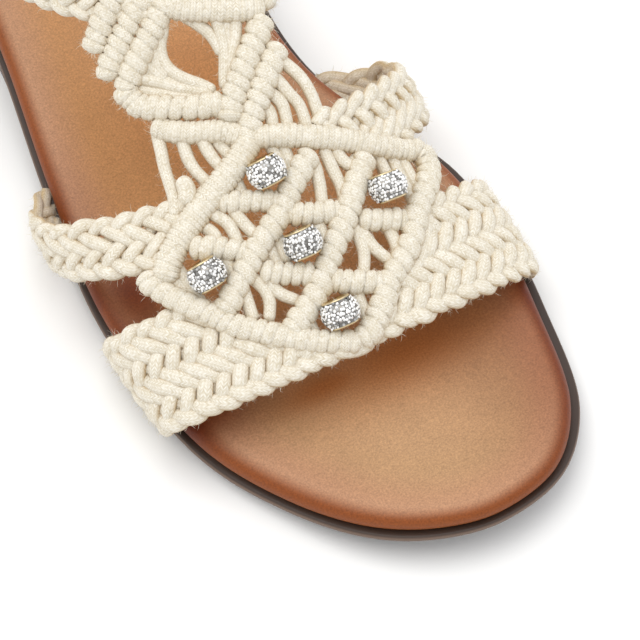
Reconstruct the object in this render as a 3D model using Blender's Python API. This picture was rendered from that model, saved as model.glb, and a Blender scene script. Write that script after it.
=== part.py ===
"""A right sandal: moulded outsole, padded leather footbed, knotted cord upper and five stone-set beads.

The shoe is worked out in millimetres: x runs from the outer side of the foot (-) to the inner side (+),
t runs from the toe tip back to the heel, and z is height above the ground. The last step moves the
origin under the middle of the shoe, turns t into y, and turns millimetres into metres.
"""
import math

import bmesh
import bpy
import numpy as np
from mathutils.geometry import delaunay_2d_cdt

MM = 0.001
CLEARANCE = 0.3          # gap between pieces that meet
SHARP_DEGREES = 40.0     # edges turning more than this are shown sharp

# Sole
RIM_WIDTH = 2.7          # ledge of the outsole that shows round the footbed
SOLE_THICKNESS = 4.4     # outsole under the ball of the foot
HEEL_RISE = 11.5         # how much higher the heel seat stands than the ball
RISE_START = 92.0        # where the seat starts to climb, from the toe
RISE_END = 178.0
TOE_SPRING = 6.0         # lift of the toe tip
SPRING_START = 42.0
ARCH_RISE = 3.0          # hollow under the waist of the sole
ARCH_SPAN = (98.0, 125.0, 145.0, 170.0)
SOLE_STATIONS = 44
# Outer edge of the outsole seen from above, from the toe tip along the inner side and back
OUTLINE = (  # x, t
    (11.0, -1.4), (28.5, 3.2), (40.8, 17.8), (46.2, 44.0), (47.4, 62.0), (44.3, 86.0), (36.5, 101.0),
    (26.5, 122.0), (24.0, 145.0), (27.0, 175.0), (30.0, 205.0), (26.5, 232.0), (14.0, 248.0),
    (-2.0, 252.0), (-18.0, 248.0), (-31.0, 232.0), (-35.5, 206.0), (-37.0, 178.0), (-39.3, 150.0),
    (-43.2, 120.0), (-46.3, 84.0), (-41.4, 47.0), (-30.2, 25.6), (-16.4, 9.6), (-3.2, 1.6),
)
# Rings that the outsole is skinned through, from the tread up
OUTSOLE_RINGS = (  # inset from the outline, height share from tread to top, lift
    (2.6, 0.0, 0.0),
    (1.0, 0.0, 1.1),
    (0.9, 0.5, 0.0),
    (0.0, 1.0, -1.3),
    (0.7, 1.0, 0.0),
)
# Rings of the padded footbed, from its underside over the rolled edge to the dished middle
FOOTBED_RINGS = (  # inset from the footbed's own edge, height over the outsole
    (1.3, 0.3),
    (0.3, 1.4),
    (0.0, 2.7),
    (0.8, 4.6),
    (2.6, 5.8),
    (5.2, 6.1),
    (9.0, 5.7),
    (17.0, 5.3),
)
ARCH_LIFT = 3.5          # the footbed swells under the inner arch
ARCH_LIFT_AT = 132.0
ARCH_LIFT_REACH = 30.0
ARCH_LIFT_HEIGHTS = (1.0, 5.0)  # the swell grows between these heights of the rolled edge

# Strap surface: the inner face of the upper, arched over the foot
CREST = np.array((  # t, x, z of the highest line
    (20.0, -1.0, 17.0),
    (44.0, -1.5, 23.0),
    (70.0, -1.5, 31.0),
    (96.0, -2.5, 39.0),
    (118.0, -4.0, 46.5),
    (135.0, -4.5, 55.0),
    (152.0, -4.5, 67.0),
))
STRAP_INSET = 2.15       # where a strap stands on the rim, in from the outline
SWEEP_BACK = 11.0        # strap ends stand this far behind their crest
# Form of a strap's sides: the outer side of the foot, then the inner side
BELT_HEIGHT = (8.0, 6.0)   # height of a strap's fullest place over the rim
BULGE = (2.1, -0.4)        # how far it stands out there; the inner side leans in
BACK_BULGE = (3.2, 10.5)   # extra bulge further back, where the sole turns in
BACK_BULGE_SPAN = ((80.0, 98.0), (74.0, 102.0))
ROUNDNESS = (0.78, 0.92)
LEAN_POWER = 1.6         # how a side that leans in leaves the upright
INSTEP_TILT = 0.22       # the instep leans down towards the outer side
INSTEP_TILT_SPAN = (75.0, 112.0)
TILT_FADE = 1.5          # how fast the lean dies out down the sides
CROWN_STEPS = 60         # points of a section from its crest to its widest place
FOOT_STEPS = 12          # and from there to the rim
HALF_SPAN = 64.0         # half the strap length on the flat working chart

# Knotted panel: a net of four ridges each way, given by its crossings on the chart
NET = np.array((  # u, t along each ridge from the instep down to the outer side
    ((0.0, 94.0), (-11.0, 85.5), (-22.0, 79.5), (-32.0, 72.5)),
    ((11.5, 88.5), (0.0, 78.5), (-12.5, 71.0), (-23.5, 61.0)),
    ((22.0, 83.0), (11.5, 70.5), (0.0, 60.5), (-12.5, 52.5)),
    ((35.0, 75.5), (26.0, 65.0), (14.0, 53.5), (0.0, 44.5)),
))
CELLS = 3
RIDGE_STEP = 0.25
BEADS = ((-0.2, 86.1), (22.5, 72.6), (-22.6, 70.8), (-1.0, 69.2), (-0.5, 52.5))   # u, t
BEAD_CORD_STATIONS = (8.6, 5.6, 2.7, 0.0, -2.7, -5.6, -8.6)   # along a bead's cord, into the ridges
OPEN_CELLS = ((1, 0), (0, 1), (2, 1), (1, 2))
OPEN_CORD_SPACING = 5.0
OPEN_CORD_HALF = 5.4

# Eye of the instep strap: a lozenge of two ridges round an open middle
EYE_CORNERS = ((-0.5, 98.4), (15.5, 114.5), (0.0, 129.5), (-17.5, 111.8))   # u, t
EYE_STEPS = 6
FAN_CORDS = (  # start and end on the chart, bow sideways
    (-16.2, 107.0, -20.5, 82.0, -0.5),
    (-11.8, 103.0, -12.8, 85.5, 0.0),
    (-8.6, 100.5, -9.6, 87.5, 0.0),
    (6.8, 101.0, 7.9, 89.5, 0.0),
    (9.6, 104.0, 10.8, 87.5, 0.0),
    (13.2, 108.5, 16.0, 85.0, 0.0),
)
FAN_STEPS = 6

# Wall heights over the inner face: distance from the middle line, underside, top
RIDGE = ((0.0, 0.0, 4.6), (2.6, 0.0, 2.0))
DOUBLE_RIDGE = ((0.0, 0.0, 3.0), (2.85, 0.0, 4.6), (5.7, 0.0, 2.2))
LOOSE_CORD = ((0.0, 0.5, 3.1), (1.35, 1.0, 2.4))
BEAD_CORD = ((0.0, 3.7, 6.3), (1.3, 4.4, 5.6))

# Braided bands, with their strips raised in a herringbone
STRIP_SLANT = 0.5        # sideways run of a strip, as a share of the row height
CREST_SHARE = 0.28       # where a strip reaches its full height
BAND_VALLEY = 2.1
BAND_CREST = 3.3
# Middle line over the foot and how far its end is swept back: outer side, inner side
FRONT_BAND = {"middle": (55.8, 55.8), "sweep": (0.0, -2.4), "width": 25.6, "rows": 6, "pitch": 4.9,
              "start": 0.0}
REAR_BAND = {"middle": (80.5, 86.0), "sweep": (23.5, 15.5), "width": 14.4, "rows": 4, "pitch": 4.7,
             "start": 17.0}
SWEEP_FROM = 15.0        # distance from the middle where a band starts to sweep, with the square
END_THINNING = 0.4       # bands are pulled thin towards the rim
END_THINNING_SPAN = (44.0, 62.0)
SMALLEST_GAP = 2.5       # slits smaller than this many square millimetres are closed by the cords
MERGE = 0.12             # chart points closer than this are one point
MITRE_REACH = 1.5        # a square corner reaches this many half widths from the middle line

# Ankle strap: a plain loop from the top of the eye round the heel
ANKLE_MIDDLE = (-3.0, 183.0)   # x, t
ANKLE_RADII = (36.0, 54.0)     # across, along
ANKLE_DIP = 10.0         # how far the loop dips at the sides of the ankle
ANKLE_RISE = 9.0         # how much higher it stands behind the heel
ANKLE_WIDTH = 13.0
ANKLE_THICKNESS = 3.0
ANKLE_LEAN = (30.0, 95.0)  # tilt of the strap's width at the front and at the back, in degrees
ANKLE_STEPS = 56
ANKLE_OFFSET = 2.4       # height of the loop's middle over the strap surface at the front
ANKLE_SECTION = (  # share of the half width, share of the thickness
    (-1.0, 0.3), (-0.5, 0.5), (0.0, 0.38), (0.5, 0.5), (1.0, 0.3), (1.0, -0.4), (-1.0, -0.4),
)

# Barrel beads
BEAD_CENTRE = 5.0        # height of a bead's axis over the inner face
BEAD_HALF_LENGTH = 2.3
BEAD_RADII = (2.4, 3.6, 4.2, 3.6, 2.4)
BEAD_BORE = 1.9
BEAD_SIDES = 14


def ramp(value, start, end):
    """Smooth step from 0 at start to 1 at end."""
    share = np.clip((np.asarray(value, float) - start) / (end - start), 0.0, 1.0)
    return share * share * (3.0 - 2.0 * share)


def smooth_loop(points, per_span=16):
    """Closed curve through the points, with tangents weighted by the distances between them."""
    here = np.array(points, float)
    before, after, beyond = (np.roll(here, step, 0)[:, None, :] for step in (1, -1, -2))
    here = here[:, None, :]
    gap_in, gap, gap_out = (
        np.sqrt(np.linalg.norm(side, axis=-1, keepdims=True))
        for side in (here - before, after - here, beyond - after)
    )
    tangent = (here - before) / gap_in - (after - before) / (gap_in + gap) + (after - here) / gap
    tangent_out = (after - here) / gap - (beyond - here) / (gap + gap_out) + (beyond - after) / gap_out
    s = np.linspace(0.0, 1.0, per_span, endpoint=False)[None, :, None]
    curve = (2 * s**3 - 3 * s**2 + 1) * here + (s**3 - 2 * s**2 + s) * gap * tangent
    curve = curve + (3 * s**2 - 2 * s**3) * after + (s**3 - s**2) * gap * tangent_out
    return curve.reshape(-1, 2)


OUTLINE_CURVE = smooth_loop(OUTLINE)


def inset_sides(distance):
    """Inner and outer side of the outline moved inwards, each a row of (x, t) from toe to heel."""
    along = np.roll(OUTLINE_CURVE, -1, 0) - np.roll(OUTLINE_CURVE, 1, 0)
    along = along / np.linalg.norm(along, axis=1, keepdims=True)
    moved = OUTLINE_CURVE + np.stack([-along[:, 1], along[:, 0]], 1) * distance
    moved = np.roll(moved, -int(np.argmin(moved[:, 1])), 0)
    heel = int(np.argmax(moved[:, 1]))
    inner = moved[:heel + 1]
    outer = np.vstack([moved[heel:], moved[:1]])[::-1]
    return inner, outer


def toe_lift(t):
    """Toe spring at a distance t from the toe tip."""
    return TOE_SPRING * np.clip((SPRING_START - t) / SPRING_START, 0.0, None) ** 2


def sole_top(t):
    """Height of the outsole's upper face."""
    return SOLE_THICKNESS + toe_lift(t) + HEEL_RISE * ramp(t, RISE_START, RISE_END)


def sole_bottom(t):
    """Height of the tread: flat at ball and heel, hollow at the waist, lifted at the toe."""
    hollow = ramp(t, ARCH_SPAN[0], ARCH_SPAN[1]) * (1.0 - ramp(t, ARCH_SPAN[2], ARCH_SPAN[3]))
    return toe_lift(t) + ARCH_RISE * hollow


def arch_lift(x, t):
    """Swell of the footbed towards the inner side of the waist."""
    inner, outer = inset_sides(RIM_WIDTH)
    inner_x = np.interp(t, inner[:, 1], inner[:, 0])
    outer_x = np.interp(t, outer[:, 1], outer[:, 0])
    bell = np.exp(-(((t - ARCH_LIFT_AT) / ARCH_LIFT_REACH) ** 2))
    return ARCH_LIFT * bell * ramp(x, (inner_x + outer_x) / 2, inner_x + 1.0)


def sole_ring(inset):
    """Points round the sole at an inset: outer side from toe to heel, then inner side back."""
    inner, outer = inset_sides(inset)
    turn = np.linspace(0.0, math.pi, SOLE_STATIONS + 1)
    first = inner[0, 1]
    last = inner[-1, 1]
    t = first + (last - first) * (1.0 - np.cos(turn)) / 2
    outer_x = np.interp(t, outer[:, 1], outer[:, 0])
    inner_x = np.interp(t, inner[:, 1], inner[:, 0])
    ring_t = np.concatenate([t, t[-2:0:-1]])
    ring_x = np.concatenate([outer_x, inner_x[-2:0:-1]])
    return ring_x, ring_t


def skin_rings(rings):
    """Closed solid through rings of equal count, with ladder caps across the first and the last."""
    count = len(rings[0])
    points = np.vstack(rings)
    faces = []
    for low in range(len(rings) - 1):
        for step in range(count):
            following = (step + 1) % count
            a = low * count
            faces.append((a + following, a + step, a + count + step, a + count + following))
    for cap, flip in ((0, False), ((len(rings) - 1) * count, True)):
        for step in range(SOLE_STATIONS):
            rung = [step, step + 1, (count - step - 1) % count, (count - step) % count]
            rung = [cap + corner for corner in dict.fromkeys(rung)]
            faces.append(tuple(rung[::-1]) if flip else tuple(rung))
    return points, faces


def outsole_solid():
    """Moulded outsole: lifted toe, hollow waist and low heel in one piece."""
    rings = []
    for inset, share, lift in OUTSOLE_RINGS:
        x, t = sole_ring(inset)
        z = sole_bottom(t) + (sole_top(t) - sole_bottom(t)) * share + lift
        rings.append(np.stack([x, t, z], 1))
    return skin_rings(rings)


def footbed_solid():
    """Padded leather footbed with a rolled edge, resting on the outsole inside its rim."""
    rings = []
    for inset, height in FOOTBED_RINGS:
        x, t = sole_ring(RIM_WIDTH + inset)
        z = sole_top(t) + height + arch_lift(x, t) * ramp(height, *ARCH_LIFT_HEIGHTS)
        rings.append(np.stack([x, t, z], 1))
    return skin_rings(rings)


def crest_value(t, column):
    """Smooth value of one column of the crest table at t."""
    stations = CREST[:, 0]
    values = CREST[:, column]
    slopes = np.gradient(values, stations)
    row = np.clip(np.searchsorted(stations, t) - 1, 0, len(stations) - 2)
    span = stations[row + 1] - stations[row]
    s = np.clip((t - stations[row]) / span, 0.0, 1.0)
    start = (2 * s**3 - 3 * s**2 + 1) * values[row] + (s**3 - 2 * s**2 + s) * span * slopes[row]
    return start + (3 * s**2 - 2 * s**3) * values[row + 1] + (s**3 - s**2) * span * slopes[row + 1]


RIM_INNER, RIM_OUTER = inset_sides(STRAP_INSET)


def half_section(t, side):
    """Section of the strap surface from its crest down to the rim, one polyline for each t."""
    t = t[:, None]
    foot_t = t + SWEEP_BACK
    rim = RIM_INNER if side > 0 else RIM_OUTER
    foot_x = np.interp(foot_t, rim[:, 1], rim[:, 0])
    foot_z = sole_top(foot_t) + CLEARANCE
    crest_x = crest_value(t, 1)
    crest_z = crest_value(t, 2)
    which = 1 if side > 0 else 0
    bulge = BULGE[which] + BACK_BULGE[which] * ramp(t, *BACK_BULGE_SPAN[which])
    belt_x = foot_x + side * bulge
    belt_z = foot_z + BELT_HEIGHT[which]
    turn = np.linspace(0.0, math.pi / 2, CROWN_STEPS)
    fall = np.linspace(0.0, 1.0, FOOT_STEPS)[1:]
    rise = np.where(bulge > 0.0, 1.0 - fall**2, (1.0 - fall) ** LEAN_POWER)
    x = np.concatenate([crest_x + (belt_x - crest_x) * np.sin(turn) ** ROUNDNESS[which],
                        foot_x + (belt_x - foot_x) * rise], 1)
    z = np.concatenate([belt_z + (crest_z - belt_z) * np.cos(turn) ** ROUNDNESS[which],
                        belt_z - BELT_HEIGHT[which] * fall], 1)
    drop = np.clip((crest_z - z) / (crest_z - foot_z), 0.0, 1.0)
    z = z + INSTEP_TILT * ramp(t, *INSTEP_TILT_SPAN) * (x - crest_x) * (1.0 - drop) ** TILT_FADE
    return np.stack([x, t + SWEEP_BACK * drop, z], 2)


def strap_surface(chart):
    """Points on the inner face of the upper for rows (u, t) of the flat chart.

    u is the distance from the crest measured along the section, scaled so that every strap
    reaches the rim at HALF_SPAN.
    """
    points = np.zeros((len(chart), 3))
    share = np.clip(np.abs(chart[:, 0]) / HALF_SPAN, 0.0, 1.0)
    for side in (-1, 1):
        pick = np.flatnonzero((chart[:, 0] >= 0.0) == (side > 0))
        if len(pick) == 0:
            continue
        section = half_section(chart[pick, 1], side)
        run = np.cumsum(np.linalg.norm(np.diff(section, axis=1), axis=2), 1)
        run = np.concatenate([np.zeros((len(pick), 1)), run], 1)
        target = share[pick] * run[:, -1]
        step = np.clip((run < target[:, None]).sum(1) - 1, 0, run.shape[1] - 2)
        rows = np.arange(len(pick))
        part = (target - run[rows, step]) / (run[rows, step + 1] - run[rows, step])
        start = section[rows, step]
        points[pick] = start + (section[rows, step + 1] - start) * part[:, None]
    return points


def strap_directions(chart, reach=0.4):
    """Unit vectors along t and out of the foot at rows (u, t) of the chart."""
    across = strap_surface(chart + (reach, 0.0)) - strap_surface(chart - (reach, 0.0))
    along = strap_surface(chart + (0.0, reach)) - strap_surface(chart - (0.0, reach))
    outward = np.cross(across, along)
    outward = outward / np.linalg.norm(outward, axis=1, keepdims=True)
    along = along / np.linalg.norm(along, axis=1, keepdims=True)
    return along, outward


def cubic_shares(place):
    """Shares of the values at stations 0, 1, 2 and 3 in the cubic through them, at a place."""
    stations = np.arange(CELLS + 1.0)
    shares = []
    for station in stations:
        others = stations[stations != station]
        shares.append(np.prod((place[..., None] - others) / (station - others), -1))
    return np.stack(shares, -1)


def net_node(i, j):
    """Chart place of ridge i of one set at ridge j of the other, by cubics through the crossings."""
    across, along = (cubic_shares(place) for place in np.broadcast_arrays(np.asarray(i, float), j))
    return np.einsum("...i,...j,ijk->...k", across, along, NET)


def panel_border():
    """Closed chart line along the middles of the four outer ridges."""
    steps = np.arange(0.0, CELLS, RIDGE_STEP)
    return np.vstack([net_node(steps, 0), net_node(CELLS, steps), net_node(CELLS - steps, CELLS),
                      net_node(0, CELLS - steps)])


def in_panel(chart):
    """Whether chart rows lie inside the panel: a line to one side crosses its border an odd number of
    times."""
    start = panel_border()
    end = np.roll(start, -1, 0)
    u, t = chart[:, :1], chart[:, 1:]
    spans = (start[:, 1] > t) != (end[:, 1] > t)
    part = (t - start[:, 1]) / np.where(end[:, 1] == start[:, 1], 1.0, end[:, 1] - start[:, 1])
    return (spans & (u < start[:, 0] + (end[:, 0] - start[:, 0]) * part)).sum(1) % 2 == 1


def ribs():
    """Middle lines of every ridge and cord with their wall heights: (points, heights, closed)."""
    steps = np.arange(0.0, CELLS + RIDGE_STEP / 2, RIDGE_STEP)
    found = []
    for ridge in range(CELLS + 1):
        found.append((net_node(ridge, steps), RIDGE, False))
        found.append((net_node(steps, ridge), RIDGE, False))
    found.append((np.array(EYE_CORNERS), DOUBLE_RIDGE, True))
    share = np.linspace(0.0, 1.0, FAN_STEPS + 1)
    for u0, t0, u1, t1, bow in FAN_CORDS:
        u = u0 + (u1 - u0) * share + bow * np.sin(math.pi * share)
        found.append((np.stack([u, t0 + (t1 - t0) * share], 1), LOOSE_CORD, False))
    for u, t in BEADS:
        found.append((np.array([(u, t + station) for station in BEAD_CORD_STATIONS]), BEAD_CORD, False))
    for i, j in OPEN_CELLS:
        middle = net_node(i + 0.5, j + 0.5)
        for side in (-0.5, 0.5):
            u = middle[0] + OPEN_CORD_SPACING * side + side * np.sin(math.pi * share)
            t = middle[1] + OPEN_CORD_HALF * (1.0 - 2.0 * share)
            found.append((np.stack([u, t], 1), LOOSE_CORD, False))
    return found


def offset_line(points, distance, closed):
    """Line beside a middle line, mitred at its corners."""
    if closed:
        before, after = np.roll(points, 1, 0), np.roll(points, -1, 0)
    else:
        before = np.vstack([2 * points[0] - points[1], points[:-1]])
        after = np.vstack([points[1:], 2 * points[-1] - points[-2]])
    into = (points - before) / np.linalg.norm(points - before, axis=1, keepdims=True)
    away = (after - points) / np.linalg.norm(after - points, axis=1, keepdims=True)
    mitre = into + away
    mitre = np.stack([-mitre[:, 1], mitre[:, 0]], 1) / (1.0 + (into * away).sum(1, keepdims=True))
    return points + mitre * distance


def band_middle(band, u):
    """Chart line along the middle of a braided band."""
    middle, sweep = (np.where(np.asarray(u) < 0.0, *band[key]) for key in ("middle", "sweep"))
    share = np.maximum(np.abs(u) - SWEEP_FROM, 0.0) / (HALF_SPAN - SWEEP_FROM)
    return middle + sweep * share**2


def band_lattice(band, row, column):
    """Corner of the herringbone: row lines zigzag by half a strip from row to row."""
    row_height = band["width"] / band["rows"]
    zigzag = STRIP_SLANT * row_height * (1 - 2 * (row % 2))
    u = np.clip(column * band["pitch"] + zigzag, -HALF_SPAN, HALF_SPAN)
    t = band_middle(band, u) - band["width"] / 2 + row * row_height
    return np.array((u, t))


def band_strips(band):
    """Strips of a band that lie outside the panel: four corners and the two ends of the crest."""
    reach = int(HALF_SPAN / band["pitch"]) + 1
    strips = []
    for row in range(band["rows"]):
        for column in range(-reach, reach):
            steps = ((0, 0), (0, 1), (1, 1), (1, 0))
            corners = np.array([band_lattice(band, row + down, column + on) for down, on in steps])
            middle = corners.mean(0)
            width = np.ptp(corners[:2, 0])
            if abs(middle[0]) < band["start"] or width < band["pitch"] / 3 or in_panel(middle[None, :])[0]:
                continue
            low = (corners[0] + corners[1]) / 2
            high = (corners[2] + corners[3]) / 2
            crest = [low + (high - low) * share for share in (CREST_SHARE, 1.0 - CREST_SHARE)]
            strips.append((corners, np.array(crest)))
    return strips


def band_height(band, chart):
    """Wall height of a braided band at rows (u, t), and whether the band reaches there."""
    row_height = band["width"] / band["rows"]
    u = chart[:, 0]
    place = (chart[:, 1] - band_middle(band, u) + band["width"] / 2) / row_height
    row = np.clip(np.floor(place), 0, band["rows"] - 1)
    part = np.clip(place - row, 0.0, 1.0)
    zigzag = STRIP_SLANT * row_height * (1 - 2 * (row % 2)) * (1.0 - 2.0 * part)
    phase = ((u - zigzag) / band["pitch"]) % 1.0
    swell = np.minimum((0.5 - np.abs(part - 0.5)) / CREST_SHARE, 1.0 - 2.0 * np.abs(phase - 0.5))
    margin = 0.02            # share of a row within which a point counts as on the edge
    outside = ~in_panel(chart) | (distance_to_line(chart, panel_border(), True) < MERGE)
    inside = (place > -margin) & (place < band["rows"] + margin) & (np.abs(u) > band["start"]) & outside
    height = BAND_VALLEY + (BAND_CREST - BAND_VALLEY) * np.clip(swell, 0.0, 1.0)
    return height * (1.0 - END_THINNING * ramp(np.abs(u), *END_THINNING_SPAN)), inside


def distance_to_line(chart, points, closed):
    """Shortest distance from each chart row to a polyline."""
    start = points if closed else points[:-1]
    end = np.roll(points, -1, 0) if closed else points[1:]
    run = end - start
    part = ((chart[:, None, :] - start) * run).sum(2) / (run * run).sum(1)
    near = start + np.clip(part, 0.0, 1.0)[:, :, None] * run
    return np.linalg.norm(chart[:, None, :] - near, axis=2).min(1)


def wall_heights(chart):
    """Underside and top of the wall over the inner face at each chart row."""
    under = np.full(len(chart), np.inf)
    over = np.full(len(chart), -np.inf)
    for band in (FRONT_BAND, REAR_BAND):
        height, inside = band_height(band, chart)
        over = np.where(inside, np.maximum(over, height), over)
        under = np.where(inside, 0.0, under)
    for points, heights, closed in ribs():
        table = np.array(heights)
        distance = distance_to_line(chart, points, closed)
        reach = table[-1, 0] * (MITRE_REACH if closed else 1.0) + MERGE
        inside = distance <= reach
        over = np.where(inside, np.maximum(over, np.interp(distance, table[:, 0], table[:, 2])), over)
        under = np.where(inside, np.minimum(under, np.interp(distance, table[:, 0], table[:, 1])), under)
    lost = ~np.isfinite(over)
    over[lost] = BAND_VALLEY
    under[lost] = 0.0
    return under, over


def chart_drawing():
    """Vertices, crest lines and outlines of all ridges, cords and strips on the flat chart."""
    vertices, edges, outlines = [], [], []

    def add(points):
        first = len(vertices)
        vertices.extend(tuple(point) for point in points)
        return list(range(first, first + len(points)))

    def add_line(points):
        line = add(points)
        edges.extend(zip(line[:-1], line[1:]))

    for points, heights, closed in ribs():
        rails = [row[0] for row in heights]
        if not closed:
            left = offset_line(points, rails[-1], closed)
            right = offset_line(points, -rails[-1], closed)
            outlines.append(add(np.vstack([right, left[::-1]])))
            add_line(points)
            continue
        share = np.linspace(0.0, 1.0, EYE_STEPS + 1)[:, None]
        for side in range(len(points)):
            lines = {}
            for rail in rails + [-rail for rail in rails[1:]]:
                ring = offset_line(points, rail, closed)
                start, end = ring[side], ring[(side + 1) % len(ring)]
                lines[rail] = start + (end - start) * share
            outlines.append(add(np.vstack([lines[-rails[-1]], lines[rails[-1]][::-1]])))
            for rail in lines:
                if abs(rail) < rails[-1]:
                    add_line(lines[rail])
    for band in (FRONT_BAND, REAR_BAND):
        for corners, crest in band_strips(band):
            outlines.append(add(corners))
            add_line(crest)
    return vertices, edges, outlines


def open_gaps(triangles, covered, points):
    """Uncovered triangles that stay open: those outside, and gaps larger than a slit."""
    owner = {}
    for index, triangle in enumerate(triangles):
        if not covered[index]:
            for a, b in zip(triangle, triangle[1:] + triangle[:1]):
                owner.setdefault(frozenset((a, b)), []).append(index)
    beside = {}
    for pair in owner.values():
        if len(pair) == 2:
            beside.setdefault(pair[0], []).append(pair[1])
            beside.setdefault(pair[1], []).append(pair[0])
    left = {index for index, full in enumerate(covered) if not full}
    stay_open = set()
    while left:
        group, waiting = set(), [left.pop()]
        while waiting:
            index = waiting.pop()
            group.add(index)
            fresh = [other for other in beside.get(index, []) if other in left]
            left.difference_update(fresh)
            waiting.extend(fresh)
        area = 0.0
        for index in group:
            a, b, c = (points[corner] for corner in triangles[index])
            area += abs((b[0] - a[0]) * (c[1] - a[1]) - (b[1] - a[1]) * (c[0] - a[0])) / 2
        if area > SMALLEST_GAP:
            stay_open |= group
    return stay_open


def close_pinches(triangles, kept):
    """Adds the narrowest open triangle wherever two walls would meet in a single point."""
    around = {}
    for index, triangle in enumerate(triangles):
        for corner in triangle:
            around.setdefault(corner, []).append(index)
    pending = list(around)
    while pending:
        corner = pending.pop()
        ends = {}
        for index in around[corner]:
            if index in kept:
                for other in triangles[index]:
                    ends[other] = ends.get(other, 0) + 1
        border = [other for other, uses in ends.items() if uses == 1 and other != corner]
        if len(border) <= 2:
            continue
        wedge = [index for index in around[corner] if index not in kept]
        wedge.sort(key=lambda index: -sum(other in border for other in triangles[index]))
        kept.add(wedge[0])
        pending.extend(triangles[wedge[0]])


def flat_wall():
    """The whole upper as one flat triangulated sheet: chart rows and triangles."""
    vertices, edges, outlines = chart_drawing()
    points, _, triangles, _, _, sources = delaunay_2d_cdt(vertices, edges, outlines, 0, MERGE, True)
    triangles = [list(triangle) for triangle in triangles]
    covered = [len(source) > 0 for source in sources]
    empty = open_gaps(triangles, covered, points)
    kept = {index for index in range(len(triangles)) if index not in empty}
    close_pinches(triangles, kept)
    used = sorted({corner for index in kept for corner in triangles[index]})
    number = {corner: place for place, corner in enumerate(used)}
    chart = np.array([points[corner] for corner in used])
    return chart, [[number[corner] for corner in triangles[index]] for index in sorted(kept)]


def knotted_wall():
    """Upper on the foot: the flat sheet laid on the strap surface and given its wall."""
    chart, triangles = flat_wall()
    under, over = wall_heights(chart)
    _, outward = strap_directions(chart)
    base = strap_surface(chart)
    floor = sole_top(base[:, 1]) + CLEARANCE
    top = base + outward * over[:, None]
    bottom = base + outward * under[:, None]
    for layer in (top, bottom):
        layer[:, 2] = np.maximum(layer[:, 2], floor)
    count = len(chart)
    faces = []
    border = {}
    for a, b, c in triangles:
        span = (chart[b] - chart[a], chart[c] - chart[a])
        if span[0][0] * span[1][1] - span[0][1] * span[1][0] < 0.0:
            b, c = c, b
        faces.append((a, b, c))
        faces.append((c + count, b + count, a + count))
        for edge in ((a, b), (b, c), (c, a)):
            border[edge] = True
    for a, b in border:
        if (b, a) not in border:
            faces.append((b, a, a + count, b + count))
    return np.vstack([top, bottom]), faces


def ankle_loop():
    """Plain flat strap from the top of the eye round behind the heel."""
    turn = np.linspace(0.0, 2.0 * math.pi, ANKLE_STEPS, endpoint=False)
    back = (1.0 - np.cos(turn)) / 2
    front_t = ANKLE_MIDDLE[1] - ANKLE_RADII[1]
    front_z = float(crest_value(np.array(front_t), 2)) + ANKLE_OFFSET
    middle = np.stack([
        ANKLE_MIDDLE[0] + ANKLE_RADII[0] * np.sin(turn),
        ANKLE_MIDDLE[1] - ANKLE_RADII[1] * np.cos(turn),
        front_z - ANKLE_DIP * np.sin(turn) ** 2 + ANKLE_RISE * back,
    ], 1)
    lean = np.radians(ANKLE_LEAN[0] + (ANKLE_LEAN[1] - ANKLE_LEAN[0]) * back)
    width = np.stack([np.zeros_like(lean), np.cos(lean), np.sin(lean)], 1)
    along = np.roll(middle, -1, 0) - np.roll(middle, 1, 0)
    outward = np.cross(along, width)
    outward = outward / np.linalg.norm(outward, axis=1, keepdims=True)
    rows = [middle + width * (side * ANKLE_WIDTH / 2) + outward * (depth * ANKLE_THICKNESS)
            for side, depth in ANKLE_SECTION]
    points = np.stack(rows, 1).reshape(-1, 3)
    sides = len(ANKLE_SECTION)
    faces = []
    for step in range(ANKLE_STEPS):
        following = (step + 1) % ANKLE_STEPS
        for side in range(sides):
            beside = (side + 1) % sides
            faces.append((step * sides + side, following * sides + side,
                          following * sides + beside, step * sides + beside))
    return points, faces


def bead_solid(bead):
    """Barrel bead at a place on the chart, with its bore along its cord."""
    place = np.array(bead)[None, :]
    along, outward = strap_directions(place)
    axis, up = along[0], outward[0]
    aside = np.cross(axis, up)
    centre = strap_surface(place)[0] + up * BEAD_CENTRE
    stations = np.linspace(-1.0, 1.0, len(BEAD_RADII)) * BEAD_HALF_LENGTH
    profile = list(zip(stations, BEAD_RADII))
    profile += [(BEAD_HALF_LENGTH, BEAD_BORE), (-BEAD_HALF_LENGTH, BEAD_BORE)]
    turn = np.linspace(0.0, 2.0 * math.pi, BEAD_SIDES, endpoint=False)
    spoke = np.cos(turn)[:, None] * aside + np.sin(turn)[:, None] * up
    points = np.vstack([centre + axis * station + spoke * radius for station, radius in profile])
    faces = []
    for ring in range(len(profile)):
        start = ring * BEAD_SIDES
        beyond = ((ring + 1) % len(profile)) * BEAD_SIDES
        for step in range(BEAD_SIDES):
            following = (step + 1) % BEAD_SIDES
            faces.append((start + step, beyond + step, beyond + following, start + following))
    return points, faces


def finish(name, colour, roughness, metallic=0.0):
    """Principled material of one sub-part."""
    material = bpy.data.materials.new(name)
    material.use_nodes = True
    shader = material.node_tree.nodes["Principled BSDF"]
    shader.inputs["Base Color"].default_value = (*colour, 1.0)
    shader.inputs["Roughness"].default_value = roughness
    shader.inputs["Metallic"].default_value = metallic
    return material


def add_object(name, solid, origin, material):
    """Object from points in millimetres, with outward faces, at its place over the origin."""
    points, faces = solid
    mesh = bpy.data.meshes.new(name)
    mesh.from_pydata(((points - origin) * MM).tolist(), [], faces)
    work = bmesh.new()
    work.from_mesh(mesh)
    bmesh.ops.recalc_face_normals(work, faces=work.faces[:])
    work.to_mesh(mesh)
    work.free()
    mesh.materials.append(material)
    mesh.shade_smooth()
    mesh.set_sharp_from_angle(angle=math.radians(SHARP_DEGREES))
    added = bpy.data.objects.new(name, mesh)
    bpy.context.collection.objects.link(added)
    return added


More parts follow.
